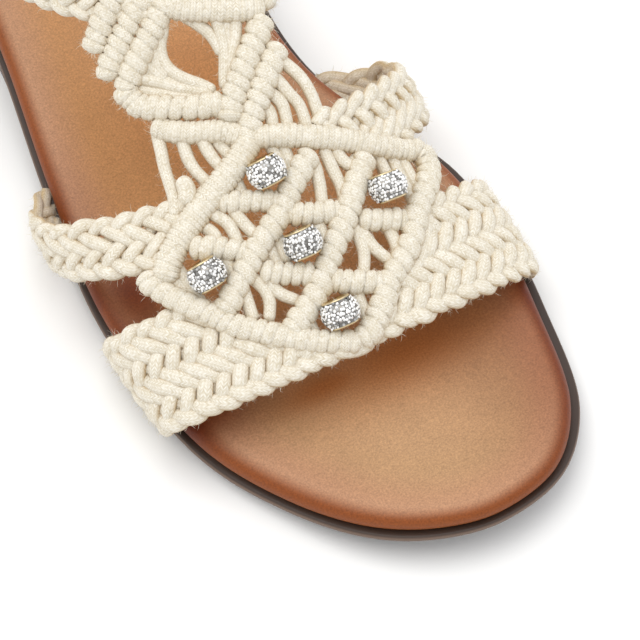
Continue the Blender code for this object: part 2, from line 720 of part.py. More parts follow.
def main():
    """Build the sandal in an empty scene."""
    for old in list(bpy.data.objects):
        bpy.data.objects.remove(old)
    rubber = finish("dark_brown_rubber", (0.075, 0.047, 0.036), 0.55)
    leather = finish("tan_leather", (0.50, 0.26, 0.13), 0.42)
    cotton = finish("cream_cotton_cord", (0.87, 0.80, 0.68), 0.92)
    stones = finish("silver_set_stones", (0.75, 0.74, 0.72), 0.18, 0.9)

    solids = {"outsole": outsole_solid(), "footbed": footbed_solid(), "upper": knotted_wall(),
              "ankle_loop": ankle_loop()}
    for number, bead in enumerate(BEADS, start=1):
        solids[f"bead_{number}"] = bead_solid(bead)
    cloud = np.vstack([points for points, _ in solids.values()])
    origin = (cloud.min(0) + cloud.max(0)) / 2
    origin[2] = 0.0

    add_object("outsole", solids["outsole"], origin, rubber)
    add_object("footbed", solids["footbed"], origin, leather)
    upper = add_object("upper", solids["upper"], origin, cotton)
    loop = add_object("ankle_loop", solids["ankle_loop"], origin, cotton)
    loop.hide_render = True
    loop.display_type = "WIRE"
    join = upper.modifiers.new("join_ankle_loop", "BOOLEAN")
    join.operation = "UNION"
    join.object = loop
    for number in range(1, len(BEADS) + 1):
        name = f"bead_{number}"
        add_object(name, solids[name], origin, stones)


main()
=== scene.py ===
# %% [markdown]
# # A cord sandal, dressed
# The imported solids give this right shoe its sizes. This lesson lays the real surfaces over them: leather,
# rubber, braided and knotted cotton cord, and beads set with stones. Every surface is a sheet of numbers
# worked out at once with numpy, so a change of one named size moves everything that depends on it.

# %% Load the frame
import math

import bpy
import numpy as np
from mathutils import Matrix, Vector


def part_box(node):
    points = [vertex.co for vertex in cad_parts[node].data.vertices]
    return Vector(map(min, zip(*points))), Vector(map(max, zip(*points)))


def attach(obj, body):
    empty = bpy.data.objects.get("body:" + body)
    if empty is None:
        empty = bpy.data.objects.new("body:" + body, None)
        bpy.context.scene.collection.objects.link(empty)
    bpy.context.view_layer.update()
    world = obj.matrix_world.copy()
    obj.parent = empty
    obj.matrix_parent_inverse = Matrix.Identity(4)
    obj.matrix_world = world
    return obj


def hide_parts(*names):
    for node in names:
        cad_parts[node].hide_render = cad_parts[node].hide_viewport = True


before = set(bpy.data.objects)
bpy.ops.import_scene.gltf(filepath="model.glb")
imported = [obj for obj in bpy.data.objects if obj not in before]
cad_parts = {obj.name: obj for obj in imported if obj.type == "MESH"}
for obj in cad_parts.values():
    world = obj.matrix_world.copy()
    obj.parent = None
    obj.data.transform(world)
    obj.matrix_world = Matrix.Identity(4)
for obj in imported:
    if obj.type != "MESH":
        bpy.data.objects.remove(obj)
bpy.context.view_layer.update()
MM = 0.001
rng = np.random.default_rng(11)
print("solids:", ", ".join(sorted(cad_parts)))

# %% [markdown]
# ## The last
# A shoemaker starts from the last, the form that the shoe is built round. Here the last is a handful of
# tables: the outline of the sole, the line of the instep and how far the sides bulge. The tables are the
# same as those of the solids, so cords laid on them sit where the solid upper is. Lengths are millimetres:
# x runs to the inner side of the foot, t runs back from the toe, z is height.

# %% Outline of the sole
OUTLINE = (  # x, t
    (11.0, -1.4), (28.5, 3.2), (40.8, 17.8), (46.2, 44.0), (47.4, 62.0), (44.3, 86.0), (36.5, 101.0),
    (26.5, 122.0), (24.0, 145.0), (27.0, 175.0), (30.0, 205.0), (26.5, 232.0), (14.0, 248.0),
    (-2.0, 252.0), (-18.0, 248.0), (-31.0, 232.0), (-35.5, 206.0), (-37.0, 178.0), (-39.3, 150.0),
    (-43.2, 120.0), (-46.3, 84.0), (-41.4, 47.0), (-30.2, 25.6), (-16.4, 9.6), (-3.2, 1.6),
)
CLEARANCE = 0.3
RIM_WIDTH = 2.7
SOLE_THICKNESS = 4.4
HEEL_RISE = 11.5
RISE_SPAN = (92.0, 178.0)
TOE_SPRING = 6.0
SPRING_START = 42.0
ARCH_RISE = 3.0
ARCH_SPAN = (98.0, 125.0, 145.0, 170.0)


def ramp(value, start, end):
    """Smooth step from 0 at start to 1 at end."""
    share = np.clip((np.asarray(value, float) - start) / (end - start), 0.0, 1.0)
    return share * share * (3.0 - 2.0 * share)


def unit(vectors):
    """Vectors divided by their lengths."""
    return vectors / np.linalg.norm(vectors, axis=-1, keepdims=True)


def smooth_line(points, per_span=16, closed=False):
    """Curve through points: cubic spans whose tangents are weighted by the distances between points."""
    points = np.array(points, float)
    if closed:
        here, before, after, beyond = (np.roll(points, step, 0) for step in (0, 1, -1, -2))
    else:
        ends = np.vstack([2 * points[0] - points[1], points, 2 * points[-1] - points[-2]])
        before, here, after, beyond = ends[:-3], ends[1:-2], ends[2:-1], ends[3:]
    before, here, after, beyond = (side[:, None, :] for side in (before, here, after, beyond))
    gap_in, gap, gap_out = (
        np.sqrt(np.linalg.norm(side, axis=-1, keepdims=True))
        for side in (here - before, after - here, beyond - after)
    )
    leave = (here - before) / gap_in - (after - before) / (gap_in + gap) + (after - here) / gap
    arrive = (after - here) / gap - (beyond - here) / (gap + gap_out) + (beyond - after) / gap_out
    s = np.linspace(0.0, 1.0, per_span, endpoint=False)[None, :, None]
    curve = (2 * s**3 - 3 * s**2 + 1) * here + (s**3 - 2 * s**2 + s) * gap * leave
    curve = curve + (3 * s**2 - 2 * s**3) * after + (s**3 - s**2) * gap * arrive
    curve = curve.reshape(-1, points.shape[1])
    return curve if closed else np.vstack([curve, points[-1:]])


OUTLINE_CURVE = smooth_line(OUTLINE, closed=True)


def inset_sides(distance):
    """Inner and outer side of the outline moved inwards, each a row of (x, t) from toe to heel."""
    along = unit(np.roll(OUTLINE_CURVE, -1, 0) - np.roll(OUTLINE_CURVE, 1, 0))
    moved = OUTLINE_CURVE + np.stack([-along[:, 1], along[:, 0]], 1) * distance
    moved = np.roll(moved, -int(np.argmin(moved[:, 1])), 0)
    heel = int(np.argmax(moved[:, 1]))
    return moved[:heel + 1], np.vstack([moved[heel:], moved[:1]])[::-1]


def toe_lift(t):
    """Toe spring at a distance t from the toe tip: a parabola that dies out at SPRING_START."""
    return TOE_SPRING * np.clip((SPRING_START - t) / SPRING_START, 0.0, None) ** 2


def sole_top(t):
    """Height of the outsole's upper face: thickness, toe spring and the climb to the heel seat."""
    return SOLE_THICKNESS + toe_lift(t) + HEEL_RISE * ramp(t, *RISE_SPAN)


def sole_bottom(t):
    """Height of the tread: flat at ball and heel, hollow at the waist, lifted at the toe."""
    hollow = ramp(t, ARCH_SPAN[0], ARCH_SPAN[1]) * (1.0 - ramp(t, ARCH_SPAN[2], ARCH_SPAN[3]))
    return toe_lift(t) + ARCH_RISE * hollow


low, high = (np.array(corner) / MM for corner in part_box("outsole"))
ORIGIN = np.zeros(3)
ORIGIN[:2] = (OUTLINE_CURVE.min(0) + OUTLINE_CURVE.max(0)) / 2 - (low[:2] + high[:2]) / 2
print("origin of the frame on the last, mm:", ORIGIN.round(2))

# %% [markdown]
# ## The strap surface
# The upper is worked on a flat chart, as a knotter works on a board: u runs across the foot from the
# crest, t runs back from the toe. One function bends the chart over the foot. A cord is then only a
# line on the chart with a height over the surface, and it follows the foot by itself.

# %% Strap surface
CREST = np.array((  # t, x, z of the highest line
    (20.0, -1.0, 17.0), (44.0, -1.5, 23.0), (70.0, -1.5, 31.0), (96.0, -2.5, 39.0),
    (118.0, -4.0, 46.5), (135.0, -4.5, 55.0), (152.0, -4.5, 67.0),
))
STRAP_INSET = 2.15
SWEEP_BACK = 11.0
BELT_HEIGHT = (8.0, 6.0)    # outer side of the foot, inner side
BULGE = (2.1, -0.4)
BACK_BULGE = (3.2, 10.5)
BACK_BULGE_SPAN = ((80.0, 98.0), (74.0, 102.0))
ROUNDNESS = (0.78, 0.92)
LEAN_POWER = 1.6
INSTEP_TILT = 0.22
INSTEP_TILT_SPAN = (75.0, 112.0)
TILT_FADE = 1.5
CROWN_STEPS = 60
FOOT_STEPS = 12
HALF_SPAN = 64.0
RIM_INNER, RIM_OUTER = inset_sides(STRAP_INSET)


def crest_value(t, column):
    """Smooth value of one column of the crest table at t, by cubic spans between its rows."""
    stations, values = CREST[:, 0], CREST[:, column]
    slopes = np.gradient(values, stations)
    row = np.clip(np.searchsorted(stations, t) - 1, 0, len(stations) - 2)
    span = stations[row + 1] - stations[row]
    s = np.clip((t - stations[row]) / span, 0.0, 1.0)
    start = (2 * s**3 - 3 * s**2 + 1) * values[row] + (s**3 - 2 * s**2 + s) * span * slopes[row]
    return start + (3 * s**2 - 2 * s**3) * values[row + 1] + (s**3 - s**2) * span * slopes[row + 1]


def half_section(t, side):
    """Section from the crest to the rim: a superellipse quarter, then a short fall to the ledge."""
    t = t[:, None]
    foot_t = t + SWEEP_BACK
    rim = RIM_INNER if side > 0 else RIM_OUTER
    foot_x = np.interp(foot_t, rim[:, 1], rim[:, 0])
    foot_z = sole_top(foot_t) + CLEARANCE
    crest_x, crest_z = crest_value(t, 1), crest_value(t, 2)
    which = 1 if side > 0 else 0
    bulge = BULGE[which] + BACK_BULGE[which] * ramp(t, *BACK_BULGE_SPAN[which])
    belt_x = foot_x + side * bulge
    belt_z = foot_z + BELT_HEIGHT[which]
    turn = np.linspace(0.0, math.pi / 2, CROWN_STEPS)
    fall = np.linspace(0.0, 1.0, FOOT_STEPS)[1:]
    rise = np.where(bulge > 0.0, 1.0 - fall**2, (1.0 - fall) ** LEAN_POWER)
    x = np.concatenate([crest_x + (belt_x - crest_x) * np.sin(turn) ** ROUNDNESS[which],
                        foot_x + (belt_x - foot_x) * rise], 1)
    z = np.concatenate([belt_z + (crest_z - belt_z) * np.cos(turn) ** ROUNDNESS[which],
                        belt_z - BELT_HEIGHT[which] * fall], 1)
    drop = np.clip((crest_z - z) / (crest_z - foot_z), 0.0, 1.0)
    z = z + INSTEP_TILT * ramp(t, *INSTEP_TILT_SPAN) * (x - crest_x) * (1.0 - drop) ** TILT_FADE
    return np.stack([x, t + SWEEP_BACK * drop, z], 2)


def strap_surface(chart):
    """Points on the foot side of the upper for rows (u, t): u is a share of the section's length."""
    points = np.zeros((len(chart), 3))
    share = np.clip(np.abs(chart[:, 0]) / HALF_SPAN, 0.0, 1.0)
    for side in (-1, 1):
        pick = np.flatnonzero((chart[:, 0] >= 0.0) == (side > 0))
        if len(pick) == 0:
            continue
        section = half_section(chart[pick, 1], side)
        run = np.cumsum(np.linalg.norm(np.diff(section, axis=1), axis=2), 1)
        run = np.concatenate([np.zeros((len(pick), 1)), run], 1)
        target = share[pick] * run[:, -1]
        step = np.clip((run < target[:, None]).sum(1) - 1, 0, run.shape[1] - 2)
        rows = np.arange(len(pick))
        part = (target - run[rows, step]) / (run[rows, step + 1] - run[rows, step])
        start = section[rows, step]
        points[pick] = start + (section[rows, step + 1] - start) * part[:, None]
    return points


def on_foot(chart, height):
    """Places over the strap surface and the outward direction there, for chart rows and heights."""
    reach = 0.4
    inside = np.clip(chart, (reach - HALF_SPAN, -np.inf), (HALF_SPAN - reach, np.inf))
    across = strap_surface(inside + (reach, 0.0)) - strap_surface(inside - (reach, 0.0))
    along = strap_surface(inside + (0.0, reach)) - strap_surface(inside - (0.0, reach))
    outward = unit(np.cross(across, along))
    return strap_surface(chart) + outward * np.asarray(height)[:, None], outward


print("crest over the ball, mm:", strap_surface(np.array([[0.0, 56.0]])).round(1))

# %% [markdown]
# ## Meshes and nodes
# Two small helpers do all the Blender work. One puts arrays of points, faces and surface coordinates
# into a mesh; filling whole arrays is far faster than adding vertices one by one. The other adds a
# shader node: a plain value goes on its socket, and a socket is linked.

# %% Helpers
pieces = {}


def add_piece(name, points, faces, material, uv=None, marks=None, flat=False):
    """Object from points in millimetres, a list of face arrays and, for each face corner, a uv.

    Marks are values for each point, which a finish reads by name; flat shows every face as a facet.
    """
    mesh = bpy.data.meshes.new(name)
    points = (points - ORIGIN) * MM
    corners = np.concatenate([block.ravel() for block in faces])
    sizes = np.concatenate([np.full(len(block), block.shape[1]) for block in faces])
    mesh.vertices.add(len(points))
    mesh.vertices.foreach_set("co", points.astype(np.float32).ravel())
    mesh.loops.add(len(corners))
    mesh.loops.foreach_set("vertex_index", corners.astype(np.int32))
    mesh.polygons.add(len(sizes))
    mesh.polygons.foreach_set("loop_start", (np.cumsum(sizes) - sizes).astype(np.int32))
    mesh.polygons.foreach_set("use_smooth", np.full(len(sizes), not flat))
    mesh.update(calc_edges=True)
    if uv is not None:
        mesh.uv_layers.new(name="millimetres").uv.foreach_set("vector", uv.astype(np.float32).ravel())
    for mark, values in (marks or {}).items():
        mesh.attributes.new(mark, "FLOAT", "POINT").data.foreach_set("value", values.astype(np.float32))
    mesh.materials.append(material)
    added = bpy.data.objects.new(name, mesh)
    bpy.context.scene.collection.objects.link(added)
    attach(added, "root")
    pieces[name] = added
    mesh.calc_loop_triangles()
    print(f"{name}: {len(points)} points, {len(mesh.loop_triangles)} triangles")
    return added


def hex_colour(code):
    """sRGB hex such as 'c08a63' as linear red, green, blue and alpha 1."""
    shares = np.array([int(code[place:place + 2], 16) for place in (0, 2, 4)]) / 255.0
    linear = np.where(shares <= 0.04045, shares / 12.92, ((shares + 0.055) / 1.055) ** 2.4)
    return (*linear.tolist(), 1.0)


def add_node(tree, kind, settings=None):
    """One node: settings holds its own properties, and 'inputs' maps sockets to values or sources."""
    node = tree.nodes.new(kind)
    settings = dict(settings or {})
    inputs = settings.pop("inputs", {})
    for name, value in settings.items():
        setattr(node, name, value)
    for socket, value in inputs.items():
        if isinstance(value, bpy.types.NodeSocket):
            tree.links.new(value, node.inputs[socket])
        else:
            node.inputs[socket].default_value = value
    return node


def new_finish(name):
    """Empty material and its node tree."""
    material = bpy.data.materials.new(name)
    material.use_nodes = True
    material.node_tree.nodes.clear()
    print("finish:", name)
    return material, material.node_tree


def grid_faces(rows, columns, wrap=False, first=0):
    """Quads of a grid of points, row after row; wrap joins the last column to the first."""
    row = np.arange(rows - 1)[:, None]
    column = np.arange(columns if wrap else columns - 1)[None, :]
    beside = (column + 1) % columns
    corners = np.stack(np.broadcast_arrays(
        row * columns + column, (row + 1) * columns + column,
        (row + 1) * columns + beside, row * columns + beside), -1)
    return corners.reshape(-1, 4) + first


# %% [markdown]
# ## Outsole
# The sole is one moulded rubber piece, dark brown, with a ledge a few millimetres wide round the footbed.
# It could be kept as the plain solid, but close up its edge needs more rings to catch the light. It is
# skinned through rings of the outline, each inset and lifted by one row of a table, and its underside is a
# grid with shallow cross grooves, as a moulded tread has.

# %% Rubber
rubber, tree = new_finish("moulded_dark_brown_rubber")
place = add_node(tree, "ShaderNodeTexCoord")
GRIT_MM = 0.45   # fine spark texture of the mould
grit = add_node(tree, "ShaderNodeTexNoise", {"inputs": {
    "Vector": place.outputs["Object"], "Scale": 1.0 / (GRIT_MM * MM), "Detail": 3.0}})
CLOUD_MM = 18.0  # slow change of tone along the edge
cloud = add_node(tree, "ShaderNodeTexNoise", {"inputs": {
    "Vector": place.outputs["Object"], "Scale": 1.0 / (CLOUD_MM * MM), "Detail": 2.0}})
body = add_node(tree, "ShaderNodeMix", {"data_type": "RGBA", "inputs": {
    "Factor": cloud.outputs["Fac"], 6: hex_colour("31231c"), 7: hex_colour("47362d")}})
painted_edge_highlight = add_node(tree, "ShaderNodeAttribute", {"attribute_name": "painted_edge_highlight"})   # painted highlight along the rounded top edge
tone = add_node(tree, "ShaderNodeMix", {"data_type": "RGBA", "inputs": {
    "Factor": painted_edge_highlight.outputs["Fac"], 6: body.outputs[2], 7: hex_colour("6f5a4c")}})
gloss = add_node(tree, "ShaderNodeMapRange", {"inputs": {
    "Value": grit.outputs["Fac"], "To Min": 0.42, "To Max": 0.62}})
relief = add_node(tree, "ShaderNodeBump", {"inputs": {
    "Height": grit.outputs["Fac"], "Strength": 0.5, "Distance": 0.05 * MM}})
# Rubber is a dull dielectric: a dark body colour with a soft grey shine along the rounded edge, helped by a
# painted highlight there.
skin = add_node(tree, "ShaderNodeBsdfPrincipled", {"inputs": {
    "Base Color": tone.outputs[2], "Roughness": gloss.outputs["Result"], "IOR": 1.5,
    "Normal": relief.outputs["Normal"]}})
add_node(tree, "ShaderNodeOutputMaterial", {"inputs": {"Surface": skin.outputs["BSDF"]}})

# %% Outsole surface
SOLE_STATIONS = 150
SOLE_RINGS = (  # inset from the outline, height share from tread to top, lift
    (2.6, 0.0, 0.0), (1.8, 0.0, 0.25), (1.2, 0.0, 0.75), (1.0, 0.0, 1.3), (0.95, 0.3, 0.6),
    (0.9, 0.55, 0.2), (0.55, 0.8, -0.4), (0.1, 1.0, -1.5), (0.0, 1.0, -1.0), (0.12, 1.0, -0.5),
    (0.4, 1.0, -0.15), (0.9, 1.0, 0.0), (2.0, 1.0, 0.0), (5.0, 1.0, 0.0),
)
TREAD_COLUMNS = 40
PLAIN_COLUMNS = 2            # across a hidden face, which needs no detail
GROOVE_PITCH = 6.0
GROOVE_DEPTH = 0.7
GROOVE_FROM = 0.45           # level of the wave above which a groove is cut
GROOVE_STEEPNESS = 2.2
GROOVE_FADE = (0.05, 0.1)    # shares of the sole's width
ZIGZAG_HALF = 9.0            # across the sole, from one bend of a groove to the next
ZIGZAG_DEPTH = 3.0
PAINTED_HIGHLIGHT_INSET = 0.2              # rings nearer to the outline than this carry the painted highlight
OUTER_TRIM = 0.9             # the moulded edge of the outer side is drawn in under the leather
OUTER_TRIM_SPAN = (5.0, 40.0)


def sole_stations(inset, stations):
    """Outer x, inner x and t at stations from toe to heel, crowded at both ends."""
    inner, outer = inset_sides(inset)
    turn = np.linspace(0.0, math.pi, stations + 1)
    t = inner[0, 1] + (inner[-1, 1] - inner[0, 1]) * (1.0 - np.cos(turn)) / 2
    return np.interp(t, outer[:, 1], outer[:, 0]), np.interp(t, inner[:, 1], inner[:, 0]), t


def sole_ring(inset, stations):
    """Points (x, t) round the sole: outer side from toe to heel, then inner side back."""
    outer_x, inner_x, t = sole_stations(inset, stations)
    return np.concatenate([outer_x, inner_x[-2:0:-1]]), np.concatenate([t, t[-2:0:-1]])


def ladder(inset, stations, columns, height):
    """Grid across the sole between its two sides, at an inset; height is a function of (x, t, v)."""
    outer_x, inner_x, t = sole_stations(inset, stations)
    v = np.linspace(0.0, 1.0, columns + 1)[None, :]
    x = outer_x[:, None] + (inner_x - outer_x)[:, None] * v
    t = np.broadcast_to(t[:, None], x.shape)
    return np.stack([x, t, height(x, t, np.broadcast_to(v, x.shape))], -1).reshape(-1, 3)


def tread_height(x, t, v):
    """Tread with zigzag cross grooves that fade out towards the edge and at the waist."""
    zigzag = np.abs((x / ZIGZAG_HALF) % 2.0 - 1.0) * ZIGZAG_DEPTH
    above = np.cos(2 * math.pi * (t + zigzag) / GROOVE_PITCH) - GROOVE_FROM
    wave = np.clip(above * GROOVE_STEEPNESS, 0.0, 1.0)
    fade = ramp(np.minimum(v, 1.0 - v), *GROOVE_FADE)
    return sole_bottom(t) + GROOVE_DEPTH * wave * fade


# %% Outsole skin, tread and seat
rings = []
for inset, share, lift in SOLE_RINGS:
    x, t = sole_ring(inset, SOLE_STATIONS)
    rings.append(np.stack([x, t, sole_bottom(t) + (sole_top(t) - sole_bottom(t)) * share + lift], 1))
count = len(rings[0])
skin_points = np.vstack(rings)
faces = [grid_faces(len(rings), count, wrap=True)[:, ::-1]]
tread = ladder(SOLE_RINGS[0][0], SOLE_STATIONS, TREAD_COLUMNS, tread_height)
faces.append(grid_faces(SOLE_STATIONS + 1, TREAD_COLUMNS + 1, first=len(skin_points)))
seat = ladder(SOLE_RINGS[-1][0], SOLE_STATIONS, PLAIN_COLUMNS, lambda x, t, v: sole_top(t))
seat_from = len(skin_points) + len(tread)
faces.append(grid_faces(SOLE_STATIONS + 1, PLAIN_COLUMNS + 1, first=seat_from)[:, ::-1])
sole_points = np.vstack([skin_points, tread, seat])
sole_points[:, 0] += OUTER_TRIM * ramp(-sole_points[:, 0], *OUTER_TRIM_SPAN)
# Painted highlight on the outermost rings of the rounded top edge.
painted_edge_highlight_marks = np.zeros(len(sole_points))
painted_edge_highlight_marks[:len(skin_points)] = np.repeat([inset < PAINTED_HIGHLIGHT_INSET for inset, share, lift in SOLE_RINGS], count)
outsole = add_piece("outsole_rubber", sole_points, faces, rubber,
                    marks={"painted_edge_highlight": painted_edge_highlight_marks})
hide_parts("outsole")

# %% [markdown]
# ## Footbed
# The footbed is a foam sheet wrapped in smooth tan leather. Its edge is rolled and burnished darker. A
# painted highlight lightens the fold under the roll, and a painted sheen the band just inside it. Painted
# shade darkens the leather by the edge in some places and, warmer, in the shade of the upper; painted light
# brightens it under the knotted panel and the eye. The roll is a ring table again, joined smoothly, and the
# middle is a slightly dished grid. The tones could be painted on by hand. Here each point carries its
# distance from the edge and a few soft marks instead, so the finish follows the edge all the way round, and
# a dark place is moved by one number.

# %% Leather colour
leather, tree = new_finish("smooth_tan_leather")
place = add_node(tree, "ShaderNodeTexCoord")
edge = add_node(tree, "ShaderNodeAttribute", {"attribute_name": "edge_mm"})
BLOOM_MM = 26.0   # uneven dye
bloom = add_node(tree, "ShaderNodeTexNoise", {"inputs": {
    "Vector": place.outputs["Object"], "Scale": 1.0 / (BLOOM_MM * MM), "Detail": 4.0, "Roughness": 0.6}})
PORE_MM = 0.75    # pores and the fine net between them
pore = add_node(tree, "ShaderNodeTexVoronoi", {"inputs": {
    "Vector": place.outputs["Object"], "Scale": 1.0 / (PORE_MM * MM)}})
FLECK_MM = 0.45
fleck = add_node(tree, "ShaderNodeTexNoise", {"inputs": {
    "Vector": place.outputs["Object"], "Scale": 1.0 / (FLECK_MM * MM), "Detail": 5.0, "Roughness": 0.7}})
axes = add_node(tree, "ShaderNodeSeparateXYZ", {"inputs": {"Vector": place.outputs["Object"]}})
PALE_TOE = (30.0, 95.0)   # t: the toe is paler, the leather under the foot a deeper tan
toewards = add_node(tree, "ShaderNodeMapRange", {"interpolation_type": "SMOOTHSTEP", "inputs": {
    "Value": axes.outputs["Y"], "From Min": (PALE_TOE[0] - ORIGIN[1]) * MM,
    "From Max": (PALE_TOE[1] - ORIGIN[1]) * MM}})
tan = add_node(tree, "ShaderNodeMix", {"data_type": "RGBA", "inputs": {
    "Factor": toewards.outputs["Result"], 6: hex_colour("b9916a"), 7: hex_colour("c08c5b")}})
cloud = add_node(tree, "ShaderNodeMapRange", {"inputs": {
    "Value": bloom.outputs["Fac"], "From Min": 0.3, "From Max": 0.7, "To Min": 0.9, "To Max": 1.06}})
middle = add_node(tree, "ShaderNodeVectorMath", {"operation": "SCALE", "inputs": {
    0: tan.outputs[2], "Scale": cloud.outputs["Result"]}})
# Painted sheen: a paler, pinker band from 3 to 14 mm inside the edge, where the roll catches light.
inward = add_node(tree, "ShaderNodeMapRange", {"interpolation_type": "SMOOTHSTEP", "inputs": {
    "Value": edge.outputs["Fac"], "From Min": 3.0, "From Max": 14.0}})
middle_and_painted_sheen = add_node(tree, "ShaderNodeMix", {"data_type": "RGBA", "inputs": {
    "Factor": inward.outputs["Result"], 6: hex_colour("b98b6a"), 7: middle.outputs[0]}})
roll = add_node(tree, "ShaderNodeMapRange", {"interpolation_type": "SMOOTHSTEP", "inputs": {
    "Value": edge.outputs["Fac"], "From Min": 0.8, "From Max": 4.0}})
burnish = add_node(tree, "ShaderNodeMix", {"data_type": "RGBA", "inputs": {
    "Factor": roll.outputs["Result"], 6: hex_colour("8c4a1f"), 7: middle_and_painted_sheen.outputs[2]}})
# Painted highlight: a paler line on the fold under the roll, below its widest ring.
painted_fold_highlight = add_node(tree, "ShaderNodeMapRange", {"inputs": {
    "Value": edge.outputs["Fac"], "From Min": -0.6, "From Max": -0.1}})
with_painted_fold_highlight = add_node(tree, "ShaderNodeMix", {"data_type": "RGBA", "inputs": {
    "Factor": painted_fold_highlight.outputs["Result"], 6: hex_colour("b48258"), 7: burnish.outputs[2]}})
speck = add_node(tree, "ShaderNodeMapRange", {"inputs": {
    "Value": fleck.outputs["Fac"], "From Min": 0.3, "From Max": 0.7, "To Min": 0.7, "To Max": 1.25}})
# Painted shade: darker brown leather beside the straps and by the edge, at the places of painted shade.
painted_shade = add_node(tree, "ShaderNodeAttribute", {"attribute_name": "painted_shade"})
with_painted_shade = add_node(tree, "ShaderNodeMix", {"data_type": "RGBA", "blend_type": "MULTIPLY", "inputs": {
    "Factor": painted_shade.outputs["Fac"], 6: with_painted_fold_highlight.outputs[2], 7: hex_colour("b0744a")}})
# Painted warm shade: deeper, warmer leather in the shade of the front band and under the eye.
painted_warm_shade = add_node(tree, "ShaderNodeAttribute", {"attribute_name": "painted_warm_shade"})
with_painted_warm_shade = add_node(tree, "ShaderNodeMix", {"data_type": "RGBA", "blend_type": "MULTIPLY", "inputs": {
    "Factor": painted_warm_shade.outputs["Fac"], 6: with_painted_shade.outputs[2], 7: hex_colour("e2b58a")}})
# Painted light: the leather under the knotted panel and the eye is brightened.
painted_light = add_node(tree, "ShaderNodeAttribute", {"attribute_name": "painted_light"})
grain_and_painted_light = add_node(tree, "ShaderNodeMath", {"operation": "MULTIPLY", "inputs": {
    0: speck.outputs["Result"], 1: painted_light.outputs["Fac"]}})
dyed = add_node(tree, "ShaderNodeVectorMath", {"operation": "SCALE", "inputs": {
    0: with_painted_warm_shade.outputs[2], "Scale": grain_and_painted_light.outputs[0]}})

# %% Leather grain
gloss = add_node(tree, "ShaderNodeMapRange", {"inputs": {
    "Value": fleck.outputs["Fac"], "From Min": 0.3, "From Max": 0.7, "To Min": 0.4, "To Max": 0.56}})
FLEX_MM = (9.0, 1.1)              # length and spacing of the fine lines where the leather bends
FLEX_TURN = math.radians(14.0)    # they run across the foot a little aslant
flex_place = add_node(tree, "ShaderNodeMapping", {"inputs": {
    "Vector": place.outputs["Object"], "Rotation": (0.0, 0.0, FLEX_TURN),
    "Scale": (1.0 / (FLEX_MM[0] * MM), 1.0 / (FLEX_MM[1] * MM), 1.0 / (FLEX_MM[0] * MM))}})
flex = add_node(tree, "ShaderNodeTexNoise", {"inputs": {
    "Vector": flex_place.outputs["Vector"], "Scale": 1.0, "Detail": 2.0, "Distortion": 0.4}})
pitted = add_node(tree, "ShaderNodeMath", {"operation": "ADD", "inputs": {
    0: pore.outputs["Distance"], 1: fleck.outputs["Fac"]}})
grain = add_node(tree, "ShaderNodeMath", {"operation": "MULTIPLY_ADD", "inputs": {
    0: flex.outputs["Fac"], 1: 1.4, 2: pitted.outputs[0]}})
relief = add_node(tree, "ShaderNodeBump", {"inputs": {
    "Height": grain.outputs[0], "Strength": 0.35, "Distance": 0.09 * MM}})
# Finished leather: warm body colour under a thin clear dressing that gives a soft wide highlight. Its pores
# swallow part of the shine, so the dark roll keeps its colour.
skin = add_node(tree, "ShaderNodeBsdfPrincipled", {"inputs": {
    "Base Color": dyed.outputs[0], "Roughness": gloss.outputs["Result"], "IOR": 1.48,
    "Specular IOR Level": 0.25, "Coat Weight": 0.1, "Coat Roughness": 0.36,
    "Normal": relief.outputs["Normal"]}})
add_node(tree, "ShaderNodeOutputMaterial", {"inputs": {"Surface": skin.outputs["BSDF"]}})

# %% Footbed surface
BED_STATIONS = 190
BED_COLUMNS = 40
BED_RINGS = (  # inset from the footbed's own edge, height over the outsole
    (1.3, 0.3), (0.3, 1.4), (0.0, 2.6), (0.6, 4.1), (2.0, 5.2), (4.6, 5.75), (9.0, 5.75), (17.0, 5.5),
)
BED_RING_STEPS = 5           # from one row of the table to the next
BED_WIDEST = 2.6             # height of the widest ring; below it the distance from the edge is negative
BED_FORWARD = 1.3            # the leather reaches nearer to the rim at the toe
BED_FORWARD_SPAN = (0.0, 60.0)
BED_OUTWARD = 0.7            # and on the outer side
BED_OUTWARD_SPAN = (0.0, 30.0)
ARCH_LIFT = 3.5
ARCH_LIFT_AT = 132.0
ARCH_LIFT_REACH = 30.0
ARCH_LIFT_PAST = 1.0         # the swell is full this far past the inner edge
ARCH_LIFT_HEIGHTS = (1.0, 5.0)


def arch_lift(x, t):
    """Swell of the footbed towards the inner side of the waist: a bell along t, a smooth step across."""
    inner, outer = inset_sides(RIM_WIDTH)
    inner_x = np.interp(t, inner[:, 1], inner[:, 0])
    outer_x = np.interp(t, outer[:, 1], outer[:, 0])
    swell = np.exp(-(((t - ARCH_LIFT_AT) / ARCH_LIFT_REACH) ** 2))
    return ARCH_LIFT * swell * ramp(x, (inner_x + outer_x) / 2, inner_x + ARCH_LIFT_PAST)


def bed_height(x, t, height):
    """Height of the footbed's surface: outsole, padding and the swell under the arch."""
    return sole_top(t) + height + arch_lift(x, t) * ramp(height, *ARCH_LIFT_HEIGHTS)


def move_bed(points):
    """Shift the footbed towards the toe, fading out towards the heel, and its outer side outwards."""
    fade = 1.0 - ramp(points[:, 1], *BED_FORWARD_SPAN)
    outward = ramp(-points[:, 0], *BED_OUTWARD_SPAN)
    return points - np.stack([BED_OUTWARD * outward, BED_FORWARD * fade, np.zeros(len(points))], 1)


